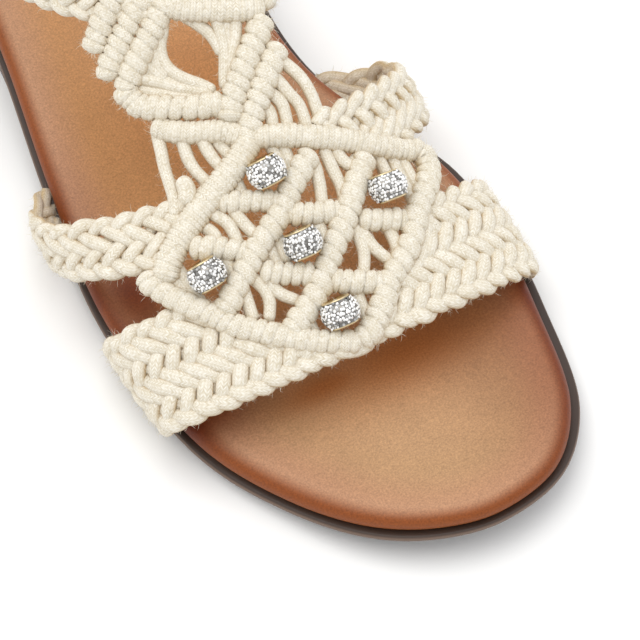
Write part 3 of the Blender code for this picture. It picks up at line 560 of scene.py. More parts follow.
# %% Painted shade and light
PAINTED_SHADE_PLACES = (  # places of painted shade, where the burnished edge also reaches further in: x, t, reach in x and t, share, strength
    (-46.0, 62.0, 30.0, 16.0, 0.75, 0.6), (44.0, 26.0, 24.0, 34.0, 0.1, 0.66),
    (-24.0, 24.0, 18.0, 18.0, 0.1, 0.1), (-36.0, 52.0, 14.0, 7.5, 0.0, 1.0),
    (-36.0, 86.0, 8.0, 13.0, 0.0, 1.0), (-46.0, 89.0, 6.0, 6.0, 0.0, 0.75),
    (-42.0, 112.0, 10.0, 20.0, 0.0, 0.36),
)
PAINTED_WARM_SHADE_PLACES = (  # places of painted warm shade, in the shade of the upper: x, t, reach in x and t, strength
    (12.0, 45.5, 26.0, 10.0, 1.0), (42.0, 46.5, 6.0, 6.0, 0.85), (-8.0, 45.5, 14.0, 5.0, 1.0),
    (-5.0, 125.0, 14.0, 16.0, 0.25),
)
PAINTED_LIGHT_PLACES = (  # places of painted light under the panel and the eye: x, t, reach in x and t, strength
    (0.0, 76.0, 30.0, 22.0, 0.48), (-5.0, 125.0, 16.0, 18.0, 0.2),
)


def bell(points, x, t, reach_x, reach_t):
    """1 at a place, dying out over its reach: e to the minus square of the distance in reaches."""
    off = (points[:, :2] - (x, t)) / (reach_x, reach_t)
    return np.exp(-(off * off).sum(1))


def edge_and_painted_light_marks(points, distance):
    """Marks for the finish: distance from the edge, shortened by painted shade, and painted shade, warm
    shade and light.
    """
    painted_shade, painted_warm_shade, painted_light = np.zeros(len(points)), np.zeros(len(points)), np.ones(len(points))
    for *place, share, strength in PAINTED_SHADE_PLACES:
        near = bell(points, *place)
        distance, painted_shade = distance * (1.0 - share * near), np.maximum(painted_shade, strength * near)
    for *place, strength in PAINTED_WARM_SHADE_PLACES:
        painted_warm_shade = np.maximum(painted_warm_shade, strength * bell(points, *place))
    for *place, strength in PAINTED_LIGHT_PLACES:
        painted_light = painted_light + strength * bell(points, *place)
    return {"edge_mm": distance, "painted_shade": painted_shade, "painted_warm_shade": painted_warm_shade, "painted_light": painted_light}


# %% Footbed skin, middle and underside
profile = smooth_line(BED_RINGS, BED_RING_STEPS)
rings, edge_marks = [], []
for inset, height in profile:
    x, t = sole_ring(RIM_WIDTH + inset, BED_STATIONS)
    rings.append(np.stack([x, t, bed_height(x, t, height)], 1))
    edge_marks.append(np.full(len(x), inset if height > BED_WIDEST else -inset))
last_inset, last_height = profile[-1]
middle_grid = ladder(RIM_WIDTH + last_inset, BED_STATIONS, BED_COLUMNS,
                     lambda x, t, v: bed_height(x, t, last_height))
edge_marks.append(np.full(len(middle_grid), last_inset))
under = ladder(RIM_WIDTH + profile[0][0], BED_STATIONS, PLAIN_COLUMNS,
               lambda x, t, v: sole_top(t) + CLEARANCE)
edge_marks.append(np.zeros(len(under)))
count = len(rings[0])
skin_points = np.vstack(rings)
faces = [
    grid_faces(len(rings), count, wrap=True)[:, ::-1],
    grid_faces(BED_STATIONS + 1, BED_COLUMNS + 1, first=len(skin_points))[:, ::-1],
    grid_faces(BED_STATIONS + 1, PLAIN_COLUMNS + 1, first=len(skin_points) + len(middle_grid)),
]
bed_points = move_bed(np.vstack([skin_points, middle_grid, under]))
footbed = add_piece("footbed_leather", bed_points, faces, leather,
                    marks=edge_and_painted_light_marks(bed_points, np.concatenate(edge_marks)))
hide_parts("footbed")

# %% [markdown]
# ## Cotton cord
# The upper is cream cotton cord of about 3 mm, itself braided from fine yarns. Its look is soft: no shine,
# columns of short strokes that slant one way and the other, small dark seed flecks, and a little fuzz. The
# pattern follows the cord, so it reads surface coordinates in millimetres: the first runs along the cord,
# the second round it. This relief is finer than a tube of few sides can carry, so it is a bump; the colour
# of its darker strokes is partly the yarn's own tone and partly painted shade. Light that has passed from
# cord to cord comes out warmer, so a mark paints a warm shade on the low sides of every cord.

# %% Cotton strokes
cotton, tree = new_finish("braided_cream_cotton")
place = add_node(tree, "ShaderNodeTexCoord")
COLUMN_MM = 0.62         # width of one column of slanted strokes, drawn a little coarser than the real cord
STROKE_MM = 0.75
STROKE_SLANT = 1.2
CORD_GIRTH = 14 * COLUMN_MM
FIBRE_MM = (2.2, 0.4)    # length and width of the streaks; true fibres are finer than the picture shows
WAVE_PERIOD = 2.0 * math.pi / 20.0   # period of the wave pattern at scale 1
axes = add_node(tree, "ShaderNodeSeparateXYZ", {"inputs": {"Vector": place.outputs["UV"]}})
column = add_node(tree, "ShaderNodeMath", {"operation": "PINGPONG", "inputs": {
    0: axes.outputs["Y"], 1: COLUMN_MM}})
slanted = add_node(tree, "ShaderNodeMath", {"operation": "MULTIPLY_ADD", "inputs": {
    0: column.outputs[0], 1: STROKE_SLANT, 2: axes.outputs["X"]}})
stroke_place = add_node(tree, "ShaderNodeCombineXYZ", {"inputs": {
    "X": slanted.outputs[0], "Y": axes.outputs["Y"]}})
stroke = add_node(tree, "ShaderNodeTexWave", {"bands_direction": "X", "inputs": {
    "Vector": stroke_place.outputs["Vector"], "Scale": WAVE_PERIOD / STROKE_MM, "Distortion": 3.0,
    "Detail": 2.0, "Detail Scale": 1.5}})
furrow = add_node(tree, "ShaderNodeTexWave", {"bands_direction": "Y", "inputs": {
    "Vector": place.outputs["UV"], "Scale": WAVE_PERIOD / COLUMN_MM, "Distortion": 0.6}})
streak = add_node(tree, "ShaderNodeMapping", {"inputs": {
    "Vector": stroke_place.outputs["Vector"], "Scale": (1.0 / FIBRE_MM[1], 1.0 / FIBRE_MM[0], 1.0)}})
fibre = add_node(tree, "ShaderNodeTexNoise", {"inputs": {
    "Vector": streak.outputs["Vector"], "Scale": 1.0, "Detail": 4.0, "Roughness": 0.7}})

# %% Cotton colour and relief
SEED_MM = 0.5            # flecks of seed husk
seed = add_node(tree, "ShaderNodeTexNoise", {"inputs": {
    "Vector": place.outputs["Object"], "Scale": 1.0 / (SEED_MM * MM), "Detail": 1.0}})
seed_spot = add_node(tree, "ShaderNodeMapRange", {"inputs": {
    "Value": seed.outputs["Fac"], "From Min": 0.73, "From Max": 0.8, "To Min": 0.0, "To Max": 0.55}})
weave = add_node(tree, "ShaderNodeMath", {"operation": "MULTIPLY", "inputs": {
    0: stroke.outputs["Fac"], 1: furrow.outputs["Fac"]}})
tuft = add_node(tree, "ShaderNodeMath", {"operation": "MULTIPLY_ADD", "inputs": {
    0: weave.outputs[0], 1: 0.2, 2: fibre.outputs["Fac"]}})
# Darker strokes and furrows: partly the yarn's own tone, partly painted shade between the yarns.
lit = add_node(tree, "ShaderNodeMapRange", {"inputs": {
    "Value": tuft.outputs[0], "From Min": 0.38, "From Max": 0.72}})
cream = add_node(tree, "ShaderNodeMix", {"data_type": "RGBA", "inputs": {
    "Factor": lit.outputs["Result"], 6: hex_colour("d3c8b0"), 7: hex_colour("f4f0e6")}})
# Painted warm shade on the low sides of each cord, from the mark 'low'.
low = add_node(tree, "ShaderNodeAttribute", {"attribute_name": "low"})
warm = add_node(tree, "ShaderNodeMix", {"data_type": "RGBA", "blend_type": "MULTIPLY", "inputs": {
    "Factor": low.outputs["Fac"], 6: cream.outputs[2], 7: hex_colour("d9c29b")}})
flecked = add_node(tree, "ShaderNodeMix", {"data_type": "RGBA", "inputs": {
    "Factor": seed_spot.outputs["Result"], 6: warm.outputs[2], 7: hex_colour("8d7a5e")}})
relief = add_node(tree, "ShaderNodeBump", {"inputs": {
    "Height": tuft.outputs[0], "Strength": 0.7, "Distance": 0.2 * MM}})
# Cotton is matt, with a faint sheen where loose fibres catch light at the edge of a cord.
skin = add_node(tree, "ShaderNodeBsdfPrincipled", {"inputs": {
    "Base Color": flecked.outputs[2], "Roughness": 0.9, "IOR": 1.45, "Specular IOR Level": 0.2,
    "Sheen Weight": 0.2, "Sheen Roughness": 0.5, "Normal": relief.outputs["Normal"]}})
add_node(tree, "ShaderNodeOutputMaterial", {"inputs": {"Surface": skin.outputs["BSDF"]}})

# %% A cord as a swept tube
FEWEST_STEPS = 6   # along a very short line


def lengths(path):
    """Distance of each point of a path from its start."""
    return np.concatenate([[0.0], np.cumsum(np.linalg.norm(np.diff(path, axis=0), axis=1))])


def resample(line, step):
    """Points at equal steps along a polyline."""
    run = lengths(line)
    target = np.linspace(0.0, run[-1], max(int(round(run[-1] / step)), FEWEST_STEPS) + 1)
    return np.stack([np.interp(target, run, column) for column in line.T], 1)


def tube(path, up, half_width, half_height, sides):
    """Rings round a path: an ellipse with one axis along 'up', its half axes given for each point."""
    along = unit(np.gradient(path, axis=0))
    up = unit(up - (up * along).sum(1, keepdims=True) * along)
    aside = np.cross(along, up)
    turn = np.linspace(0.0, 2.0 * math.pi, sides, endpoint=False)
    wide = np.broadcast_to(half_width, (len(path), sides)) * np.cos(turn)
    tall = np.broadcast_to(half_height, (len(path), sides)) * np.sin(turn)
    return path[:, None] + aside[:, None] * wide[..., None] + up[:, None] * tall[..., None]


def end_round(run, radius):
    """1 along a cord, falling to 0 at both ends as a quarter circle does."""
    near = np.clip(np.minimum(run, run[-1] - run) / radius, 0.0, 1.0)
    return np.sqrt(np.clip(1.0 - (1.0 - near) ** 2, 0.0, 1.0))


# %% A basket of cords
# Mark for the painted warm shade on the low sides of a cord:
LOW_AT = -0.15            # sine of the place round a cord where its side is warmest
LOW_REACH = (0.5, 0.68)   # fade upwards and downwards from there
CAP_WARMTH = 0.5          # of the middle of a cord's end
PATTERN_SHIFT = 40.0      # most by which chance shifts the pattern, so that no two cords match
LEDGE_FROM = 15.0         # x beyond which a cord may come down to the ledge of the sole
LEDGE_GAP = 0.05


class CordBasket:
    """Collects swept cords, with their surface coordinates, until they become one piece."""

    def __init__(self):
        self.points, self.quads, self.caps, self.quad_uv, self.cap_uv, self.low = [], [], [], [], [], []
        self.total = 0

    def add(self, rings, run, girth, wrapped=False):
        """Add rings of one cord; wrapped turns the fibres round the ring, as on a hitched ridge."""
        count, sides = rings.shape[:2]
        self.points.append(rings.reshape(-1, 3))
        self.points.append(np.stack([rings[0].mean(0), rings[-1].mean(0)]))
        height = np.sin(np.linspace(0.0, 2.0 * math.pi, sides, endpoint=False))
        warmth = np.exp(-(((height - LOW_AT) / np.where(height > LOW_AT, *LOW_REACH)) ** 2))
        self.low.append(np.append(np.tile(warmth, count), (CAP_WARMTH, CAP_WARMTH)))
        quads = grid_faces(count, sides, wrap=True)
        row, side = quads[:, 0] // sides, quads[:, 0] % sides
        offset = rng.uniform(0.0, PATTERN_SHIFT, 2)
        around = np.stack([side, side, side + 1, side + 1], 1) * (girth / sides) + offset[1]
        onward = np.stack([run[row], run[row + 1], run[row + 1], run[row]], 1) + offset[0]
        uv = np.stack([around, onward] if wrapped else [onward, around], -1)
        ring = np.arange(sides)
        beside = (ring + 1) % sides
        poles = (count * sides, count * sides + 1)
        last = (count - 1) * sides
        caps = np.vstack([np.stack([np.full(sides, poles[0]), ring, beside], 1),
                          np.stack([np.full(sides, poles[1]), last + beside, last + ring], 1)])
        self.quads.append(quads + self.total)
        self.caps.append(caps + self.total)
        self.quad_uv.append(uv.reshape(-1, 2))
        self.cap_uv.append(np.broadcast_to(uv[:1, 0], (caps.size, 2)))
        self.total += count * sides + 2

    def piece(self, name):
        """One object of all cords, kept above the ledge of the sole."""
        points = np.vstack(self.points)
        beyond = np.abs(points[:, 0]) > LEDGE_FROM
        floor = np.where(beyond, sole_top(points[:, 1]) + LEDGE_GAP, -np.inf)
        points[:, 2] = np.maximum(points[:, 2], floor)
        faces = [np.vstack(self.quads), np.vstack(self.caps)]
        uv = np.vstack(self.quad_uv + self.cap_uv)
        return add_piece(name, points, faces, cotton, uv=uv,
                         marks={"low": np.concatenate(self.low)})


# %% [markdown]
# ## Braided bands
# Each band is a flat braid. Cords cross it at a slant, pass over two and under two, turn at the edge and
# come back, so the floats lie in rows that lean one way and the other. Modelling each float would be long
# work; instead one cord is a triangle wave on the chart, and its height is a sine of its place across the
# band with a sign for the way it is going. Cords shifted by one pitch make the whole braid. Each turn lies a
# quarter of a row inside the edge, so cords cross at the quarter points, where one is well above the other.
# The bands run under the knotted panel, so its border comes first.

# %% Border of the panel
PANEL_HIDE = 1.4           # how far under the panel's edge ridge a cord runs
# Middle lines of the four ridges round the knotted panel: u, t
PANEL_LEFT = ((0.6, 94.2), (-1.8, 92.6), (-5.5, 90.2), (-13.0, 86.4), (-21.5, 81.8), (-28.0, 77.0),
              (-31.0, 73.4))
PANEL_TOP = ((0.0, 94.2), (6.0, 91.8), (10.5, 89.6), (18.0, 86.0), (26.0, 81.8), (35.0, 77.6))
PANEL_RIGHT = ((33.4, 79.6), (36.4, 76.0), (35.4, 72.6), (31.0, 68.5), (27.2, 65.3), (23.0, 60.5),
               (17.5, 56.5), (14.0, 54.5), (10.5, 51.0), (5.0, 46.6), (0.6, 45.0))
PANEL_BOTTOM = ((-33.8, 77.4), (-33.4, 74.4), (-30.6, 69.0), (-26.5, 63.4), (-23.4, 59.4), (-18.5, 55.5),
                (-13.5, 52.0), (-7.5, 48.6), (-1.0, 46.0), (1.6, 44.8))


def panel_depth(chart):
    """Distance of chart rows inside the panel's border, 0 outside it.

    A row is inside when a line to one side crosses the border an odd number of times.
    """
    start = np.array(PANEL_TOP + PANEL_RIGHT + PANEL_BOTTOM[::-1] + PANEL_LEFT[::-1])
    run = np.roll(start, -1, 0) - start
    u, t = chart[:, :1], chart[:, 1:]
    spans = (start[:, 1] > t) != (start[:, 1] + run[:, 1] > t)
    level = np.where(run[:, 1] == 0.0, 1.0, run[:, 1])
    inside = (spans & (u < start[:, 0] + run[:, 0] * (t - start[:, 1]) / level)).sum(1) % 2 == 1
    part = ((chart[:, None] - start) * run).sum(2) / (run * run).sum(1)
    near = start + np.clip(part, 0.0, 1.0)[..., None] * run
    return np.where(inside, np.linalg.norm(chart[:, None] - near, axis=2).min(1), 0.0)


# %% Braid
CORD_STEP = 0.34
CORD_SIDES = 12
# Middle line over the foot, how far its end is swept back, and width: outer side, inner side. A shear lays
# the cords that go to the toe steeper than those that come back, away from the ends of the band; half is
# half the width and height of a cord.
FRONT_BAND = {"middle": (55.8, 55.8), "sweep": (0.0, -2.4), "width": (25.6, 25.6), "rows": 6, "pitch": 4.35,
              "start": 0.0, "half": (1.68, 1.2), "shear": -0.15}
REAR_BAND = {"middle": (81.9, 85.6), "sweep": (21.6, 15.5), "width": (15.2, 17.2), "rows": 4, "pitch": 4.2,
             "start": 12.0, "half": (1.5, 1.25), "shear": 0.25}
SWEEP_FROM = 15.0
END_THINNING = 0.25
END_THINNING_SPAN = (44.0, 62.0)
SHEAR_FADE = (38.0, 58.0)
BRAID_MIDDLE = 1.65
BRAID_SWING = 0.76
TURN_ROUND = 0.05
TURN_INSET = 0.25          # a cord turns this share of a row inside the edge
TURN_SOFTNESS = 0.01       # how gently a cord changes from one way to the other
WANDER = (  # uneven lie of a cord: size, length of the wave, shift from cord to cord
    (0.22, 5.3, 2.1), (0.16, 2.9, 1.3),
)
WANDER_ALONG = 0.5         # share of it along the band
PLUMP_WAVE = (0.05, 3.1)   # slow change of thickness: share, length
PLUMP_ON_TOP = 0.06        # thicker by this share where a cord floats on top
SHORTEST_RUN = 8           # points; shorter bits beside the panel are left out


def band_middle(band, u):
    """Chart line along the middle of a band: swept back with the square of the distance."""
    middle, sweep = (np.where(u < 0.0, *band[key]) for key in ("middle", "sweep"))
    share = np.maximum(np.abs(u) - SWEEP_FROM, 0.0) / (HALF_SPAN - SWEEP_FROM)
    return middle + sweep * share**2


def braid_wave(along, band, strand):
    """Place of one cord across the rows and its height, both without size.

    The place is a triangle wave with rounded tips; the height is a sine of the place, with one sign
    for a cord on its way to the toe and the other for one on its way back.
    """
    reach = band["rows"] - 2.0 * TURN_INSET
    phase = math.pi * (along / band["pitch"] - strand) / reach
    sharp = np.arccos(np.cos(phase)) / math.pi
    tip = math.acos(1.0 - TURN_ROUND) / math.pi
    wave = (np.arccos((1.0 - TURN_ROUND) * np.cos(phase)) / math.pi - tip) / (1.0 - 2.0 * tip)
    way = np.sin(phase) / np.sqrt(np.sin(phase) ** 2 + TURN_SOFTNESS)
    return reach * wave + TURN_INSET, -np.sin(math.pi * (reach * sharp + TURN_INSET)) * way


def runs_of(keep, shortest):
    """First and last index of every unbroken run of True that is long enough."""
    edges = np.flatnonzero(np.diff(np.concatenate([[False], keep, [False]]).astype(int)))
    return [(a, b) for a, b in zip(edges[::2], edges[1::2]) if b - a >= shortest]


def braid_on_foot(basket, band):
    """All cords of a band, cut where they pass under the knotted panel."""
    along = np.arange(-HALF_SPAN, HALF_SPAN + CORD_STEP / 2, CORD_STEP)
    width = np.where(along < 0.0, *band["width"])
    row_height = (width - 2.0 * band["half"][0]) / (band["rows"] - 2.0 * TURN_INSET)
    thin = 1.0 - END_THINNING * ramp(np.abs(along), *END_THINNING_SPAN)
    shear = band["shear"] * (1.0 - ramp(np.abs(along), *SHEAR_FADE))
    for strand in range(2 * band["rows"] - 1):
        place, height = braid_wave(along, band, strand)
        wander = sum(size * np.sin(along / length + shift * strand) for size, length, shift in WANDER)
        side = (place - band["rows"] / 2) * row_height + wander
        chart = np.stack([along + shear * side + WANDER_ALONG * wander, band_middle(band, along) + side], 1)
        chart[:, 0] = np.clip(chart[:, 0], -HALF_SPAN, HALF_SPAN)
        keep = (panel_depth(chart) < PANEL_HIDE) & (np.abs(along) > band["start"])
        lift = (BRAID_MIDDLE + BRAID_SWING * height) * thin
        for first, last in runs_of(keep, SHORTEST_RUN):
            path, outward = on_foot(chart[first:last], lift[first:last])
            run = lengths(path)
            plump = 1.0 + PLUMP_WAVE[0] * np.sin(run / PLUMP_WAVE[1] + strand)
            plump = plump + PLUMP_ON_TOP * height[first:last]
            half_height = band["half"][1] * plump * thin[first:last]
            rings = tube(path, outward, (band["half"][0] * plump)[:, None], half_height[:, None], CORD_SIDES)
            basket.add(rings, run, CORD_GIRTH)


# %% Both bands
basket = CordBasket()
braid_on_foot(basket, FRONT_BAND)
front_braid = basket.piece("front_braid")
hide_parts("upper")
basket = CordBasket()
braid_on_foot(basket, REAR_BAND)
basket.piece("rear_braid")

# %% [markdown]
# ## Knotted ridges
# The panel and the eye are rows of half hitches: each cord in turn is wound tightly over a carrier cord,
# which leaves a fat ridge of rounded turns. Winding every hitch as a cord of its own would bury most of it
# inside. A ridge is one tube instead, whose radius swells and pinches once for each turn, a little slanted
# and a little uneven; its fibres run round the ridge, as they do on the real one.

# %% Ridges
RIDGE_STEP = 0.16
RIDGE_SIDES = 28
RIDGE_HALF = (2.85, 2.45)
RIDGE_MIDDLE = 2.3
RIDGE_END = 1.9              # length of a rounded end
RIDGE_GIRTH = 2.0 * CORD_GIRTH
HUMP_POWERS = (2.8, 0.55)
FEWEST_HITCHES = 2
HITCH_WIDTHS = (0.8, 1.2)    # least and most, as shares of the pitch
HITCH_DEPTHS = (0.6, 1.4)
HITCH_SIZES = (0.95, 1.05)
HITCH_SLANT = 0.2            # in pitches, from one side of the ridge to its top
VALLEY_TOP = 0.75            # depth of a valley on top of the ridge, and what its sides add
VALLEY_SIDES = 0.5
PAIR_SHARE = 0.14


def hump(part):
    """Rounded turn over one pitch: 0 at both ends, 1 over the middle, with narrow valleys."""
    return (1.0 - np.abs(2.0 * part - 1.0) ** HUMP_POWERS[0]) ** HUMP_POWERS[1]


def hitch_swell(run, pitch, sides, pinch):
    """Radius share of a ridge at each ring and side: hitches of two turns with valleys between.

    Each hitch has its own width, depth and size, drawn at random; the valley inside a hitch is
    shallower, and every valley is deeper at the sides of the ridge than on top.
    """
    turn = np.linspace(0.0, 2.0 * math.pi, sides, endpoint=False)[None, :]
    count = max(int(round(run[-1] / pitch)), FEWEST_HITCHES)
    widths = rng.uniform(*HITCH_WIDTHS, count)
    edges = np.concatenate([[0.0], np.cumsum(widths)]) / widths.sum() * run[-1]
    place = np.interp(run, edges, np.arange(count + 1.0))[:, None] + HITCH_SLANT * np.cos(turn)
    number = np.floor(place)
    pick = np.clip(number, 0, count - 1).astype(int)
    depth = (pinch * rng.uniform(*HITCH_DEPTHS, count))[pick]
    depth = depth * (VALLEY_TOP + VALLEY_SIDES * np.cos(turn) ** 2)
    valley = 1.0 - hump(place - number) + PAIR_SHARE * (1.0 - hump((2.0 * place) % 1.0))
    return (1.0 - depth * valley) * rng.uniform(*HITCH_SIZES, count)[pick]


def ridge(basket, line, size, pitch, pinch, lift=0.0):
    """One hitched ridge along a smooth line on the chart, with rounded ends."""
    line = resample(smooth_line(line), RIDGE_STEP)
    base, outward = on_foot(line, np.zeros(len(line)))
    run = lengths(base)
    swell = hitch_swell(run, pitch, RIDGE_SIDES, pinch) * end_round(run, RIDGE_END)[:, None] * size
    path = base + outward * (RIDGE_MIDDLE * size + lift)
    rings = tube(path, outward, RIDGE_HALF[0] * swell, RIDGE_HALF[1] * swell, RIDGE_SIDES)
    basket.add(rings, run, RIDGE_GIRTH, wrapped=True)


def ridges_piece(name, shapes):
    """All ridges of a table as one piece."""
    basket = CordBasket()
    for shape in shapes:
        ridge(basket, *shape)
    basket.piece(name)


# %% Ridges of the panel
EYE_TO_PANEL = ((14.2, 109.2), (9.5, 105.0), (6.0, 101.6), (2.5, 98.0), (0.2, 95.0), (-1.6, 93.2))
PANEL_RIDGES = (  # line, size, pitch of the hitches, depth of the valleys, lift
    (EYE_TO_PANEL, 1.06, 3.0, 0.24, 0.0),
    (PANEL_LEFT, 1.1, 1.3, 0.12, 0.0),
    (PANEL_TOP, 0.98, 1.35, 0.13, 0.2),
    (PANEL_RIGHT, 1.05, 3.0, 0.26, 0.2),
    (PANEL_BOTTOM, 0.98, 2.5, 0.22, 0.3),
    (((10.7, 86.4), (3.5, 81.5), (-2.5, 76.6), (-9.5, 72.5), (-16.0, 68.0), (-24.2, 62.2)),
     1.02, 2.9, 0.22, 0.2),
    (((22.4, 81.3), (16.0, 75.5), (11.0, 70.5), (5.5, 66.0), (0.0, 61.0), (-3.0, 58.4), (-13.4, 52.6)),
     1.05, 3.0, 0.25, 0.2),
    (((-13.0, 84.3), (-7.0, 82.0), (-0.6, 79.3)), 0.93, 2.4, 0.24, 0.0),
    (((-1.4, 76.3), (4.5, 74.0), (11.2, 72.2)), 0.95, 2.3, 0.24, 0.0),
    (((13.2, 68.8), (18.0, 67.0), (24.6, 64.6)), 0.98, 2.5, 0.24, 0.0),
    (((-23.0, 78.0), (-17.5, 75.4), (-12.2, 71.8)), 0.98, 2.4, 0.24, 0.0),
    (((-12.4, 67.3), (-7.0, 64.6), (-1.2, 62.2)), 1.0, 2.6, 0.24, 0.0),
    (((0.8, 59.8), (6.5, 57.0), (13.0, 54.6)), 1.0, 2.6, 0.24, 0.0),
)
ridges_piece("panel_ridges", PANEL_RIDGES)

# %% Ridges of the eye
EYE_RIDGES = (  # line, size, pitch of the hitches, depth of the valleys
    (((-17.6, 115.2), (-16.5, 112.0), (-14.0, 109.8), (-8.0, 106.2), (-4.0, 104.5), (-0.6, 103.3)),
     1.06, 2.8, 0.25),
    (((-16.6, 106.4), (-13.5, 103.6), (-10.5, 101.3), (-6.5, 99.4), (-3.5, 97.5), (-0.8, 94.8)),
     0.94, 1.35, 0.12),
    (((14.2, 116.0), (10.5, 112.1), (6.0, 108.0), (2.0, 104.0), (0.0, 101.8), (-1.8, 98.8)), 1.1, 2.9, 0.27),
    (((-1.6, 128.4), (-5.0, 125.5), (-10.5, 121.6), (-15.5, 118.0), (-17.4, 115.8), (-17.2, 113.4)),
     1.08, 2.7, 0.26),
    (((-5.5, 131.0), (-9.0, 128.6), (-14.0, 125.0), (-18.6, 121.4), (-19.5, 119.4)), 1.06, 2.7, 0.26),
    (((-9.5, 134.5), (-14.0, 131.4), (-18.5, 127.6), (-19.8, 125.8)), 1.04, 2.7, 0.26),
    (((-2.8, 127.6), (1.5, 124.4), (5.0, 122.2), (8.5, 120.2), (12.0, 118.6), (15.0, 117.2)),
     1.06, 1.5, 0.15),
    (((0.0, 132.8), (6.0, 128.6), (12.0, 124.4), (17.6, 117.4)), 1.0, 2.7, 0.24),
)
ridges_piece("eye_ridges", EYE_RIDGES)

# %% [markdown]
# ## Loose cords
# Between the ridges the same cords run free for a short way: they fan out below the eye, cross the open
# cells of the panel, carry the beads and line the eye. Each is a curve through a few places on the chart,
# a little over the foot, and its rounded ends are hidden in the ridges.

# %% Routes of the loose cords
FREE_CORDS = (  # height over the foot at both ends, then places on the chart
    # Fan from the eye to the panel, outer side
    (1.7, 2.4, ((-15.8, 105.8), (-17.2, 100.2), (-18.2, 96.4), (-18.9, 93.0), (-19.8, 89.6), (-22.0, 85.4))),
    (1.7, 1.7, ((-11.8, 102.4), (-13.0, 96.5), (-13.0, 93.5), (-12.5, 90.5), (-12.2, 87.2))),
    (1.7, 1.7, ((-8.6, 100.4), (-8.7, 95.5), (-8.5, 93.0), (-7.6, 89.6))),
    (1.5, 1.5, ((-5.8, 98.8), (-5.8, 95.6), (-5.0, 92.2))),
    # Along the eye's lower ridge
    (1.4, 1.4, ((-15.8, 115.4), (-12.2, 112.4), (-9.0, 110.0), (-5.6, 107.6), (-2.6, 105.4))),
    # Fan, inner side
    (1.7, 1.7, ((12.5, 107.2), (14.5, 101.5), (15.0, 97.5), (15.0, 92.0), (16.0, 87.0))),
    (1.7, 1.7, ((10.0, 104.8), (11.0, 99.2), (11.9, 96.0), (11.5, 90.0))),
    (1.7, 1.7, ((7.0, 102.6), (8.8, 98.4), (8.6, 95.5), (7.5, 91.4))),
    (1.6, 1.6, ((4.8, 100.8), (6.0, 97.6), (5.0, 93.4))),
    # Lining of the eye
    (1.8, 1.6, ((-3.8, 125.4), (-5.0, 123.0), (-6.6, 121.0), (-7.6, 118.0), (-7.2, 115.0), (-5.5, 112.0),
                (-3.0, 109.0), (-1.2, 106.4))),
    (1.8, 1.6, ((-14.4, 117.4), (-10.5, 114.0), (-8.0, 111.4), (-5.0, 109.0), (-1.8, 106.2))),
    (1.6, 1.6, ((-11.6, 119.6), (-10.4, 117.0), (-9.2, 113.4))),
    (1.8, 1.6, ((6.0, 121.6), (5.2, 116.0), (4.0, 112.4), (2.5, 109.4), (0.8, 105.8))),
    (1.8, 1.6, ((9.8, 119.4), (7.2, 114.2), (5.0, 111.3), (2.8, 107.0))),
    (1.2, 1.2, ((-0.4, 125.0), (2.3, 120.4), (3.5, 117.2), (3.8, 112.5))),
    (1.3, 1.3, ((8.2, 120.8), (6.0, 115.4), (4.4, 111.6), (1.8, 106.6))),
    (1.2, 1.2, ((-13.0, 118.6), (-10.8, 115.6), (-7.6, 112.0), (-3.6, 108.2))),
    (1.6, 1.6, ((-6.4, 122.6), (-8.6, 119.6), (-9.4, 117.0), (-8.6, 114.0))),
    # In the open cells of the panel
    (1.7, 1.7, ((13.5, 86.4), (13.6, 81.0), (13.6, 77.5), (12.6, 73.2))),
    (1.6, 1.6, ((10.4, 84.6), (9.2, 79.2), (7.4, 74.6))),
    (1.7, 2.2, ((16.0, 85.4), (16.6, 82.0), (18.0, 80.2), (20.5, 79.6))),
    (1.7, 1.7, ((-15.4, 83.6), (-13.2, 79.8), (-13.0, 77.0), (-13.6, 73.6))),
    (1.7, 1.7, ((-10.8, 82.4), (-10.1, 78.2), (-9.0, 74.4))),
    (1.5, 1.5, ((-18.0, 81.4), (-16.8, 78.6), (-17.4, 75.6))),
    (1.7, 1.7, ((11.8, 68.6), (11.6, 63.2), (10.6, 60.6), (8.4, 57.2))),
    (1.7, 1.7, ((12.8, 67.6), (14.0, 62.2), (16.4, 58.0))),
    (1.6, 1.6, ((19.2, 66.0), (19.2, 60.6), (18.0, 57.2))),
    (1.7, 1.7, ((-14.6, 68.0), (-13.1, 63.4), (-13.4, 61.0), (-15.8, 57.0))),
    (1.7, 1.7, ((-11.8, 66.2), (-10.6, 61.8), (-7.4, 58.4))),
    (1.5, 1.5, ((-17.0, 66.8), (-18.0, 61.8), (-18.8, 58.2))),
    # Beside the panel's edge, over the front band
    (1.9, 1.5, ((-15.0, 49.2), (-9.0, 46.6), (-4.0, 44.7), (1.0, 43.8), (4.4, 44.6))),
    (2.2, 2.0, ((29.6, 64.2), (28.0, 61.5), (26.0, 58.5), (23.5, 56.0), (19.5, 53.6))),
)
BEAD_SIDE_CORDS = (  # beside the beads, low between the ridges: u and t of both ends
    (-9.4, 89.0, -10.2, 83.0), (-6.6, 91.0, -7.4, 82.0), (5.6, 91.4, 5.0, 82.4),
    (28.8, 81.0, 28.0, 66.4), (31.2, 79.0, 30.6, 69.0),
    (-10.2, 73.6, -10.6, 66.4), (-7.6, 76.0, -8.0, 65.0), (4.9, 74.4, 4.2, 65.0),
    (-29.0, 76.4, -28.6, 67.0), (-16.9, 75.4, -17.8, 66.4),
    (-7.4, 57.4, -7.8, 48.6), (6.0, 57.4, 5.2, 47.4),
    (-27.2, 76.4, -26.6, 66.0), (19.4, 82.6, 20.4, 74.0), (25.6, 81.0, 25.2, 74.0),
    (3.2, 93.0, 3.2, 84.0), (-4.8, 77.0, -5.4, 66.6),
)
SIDE_CORD_LIFT = 1.4
SIDE_CORD_STEPS = 30
KNOT_END = ((-17.3, 92.6), (-16.6, 91.0), (-17.0, 89.0), (-18.8, 86.6))   # stub of a knot: u, t
KNOT_LIFT = 3.0
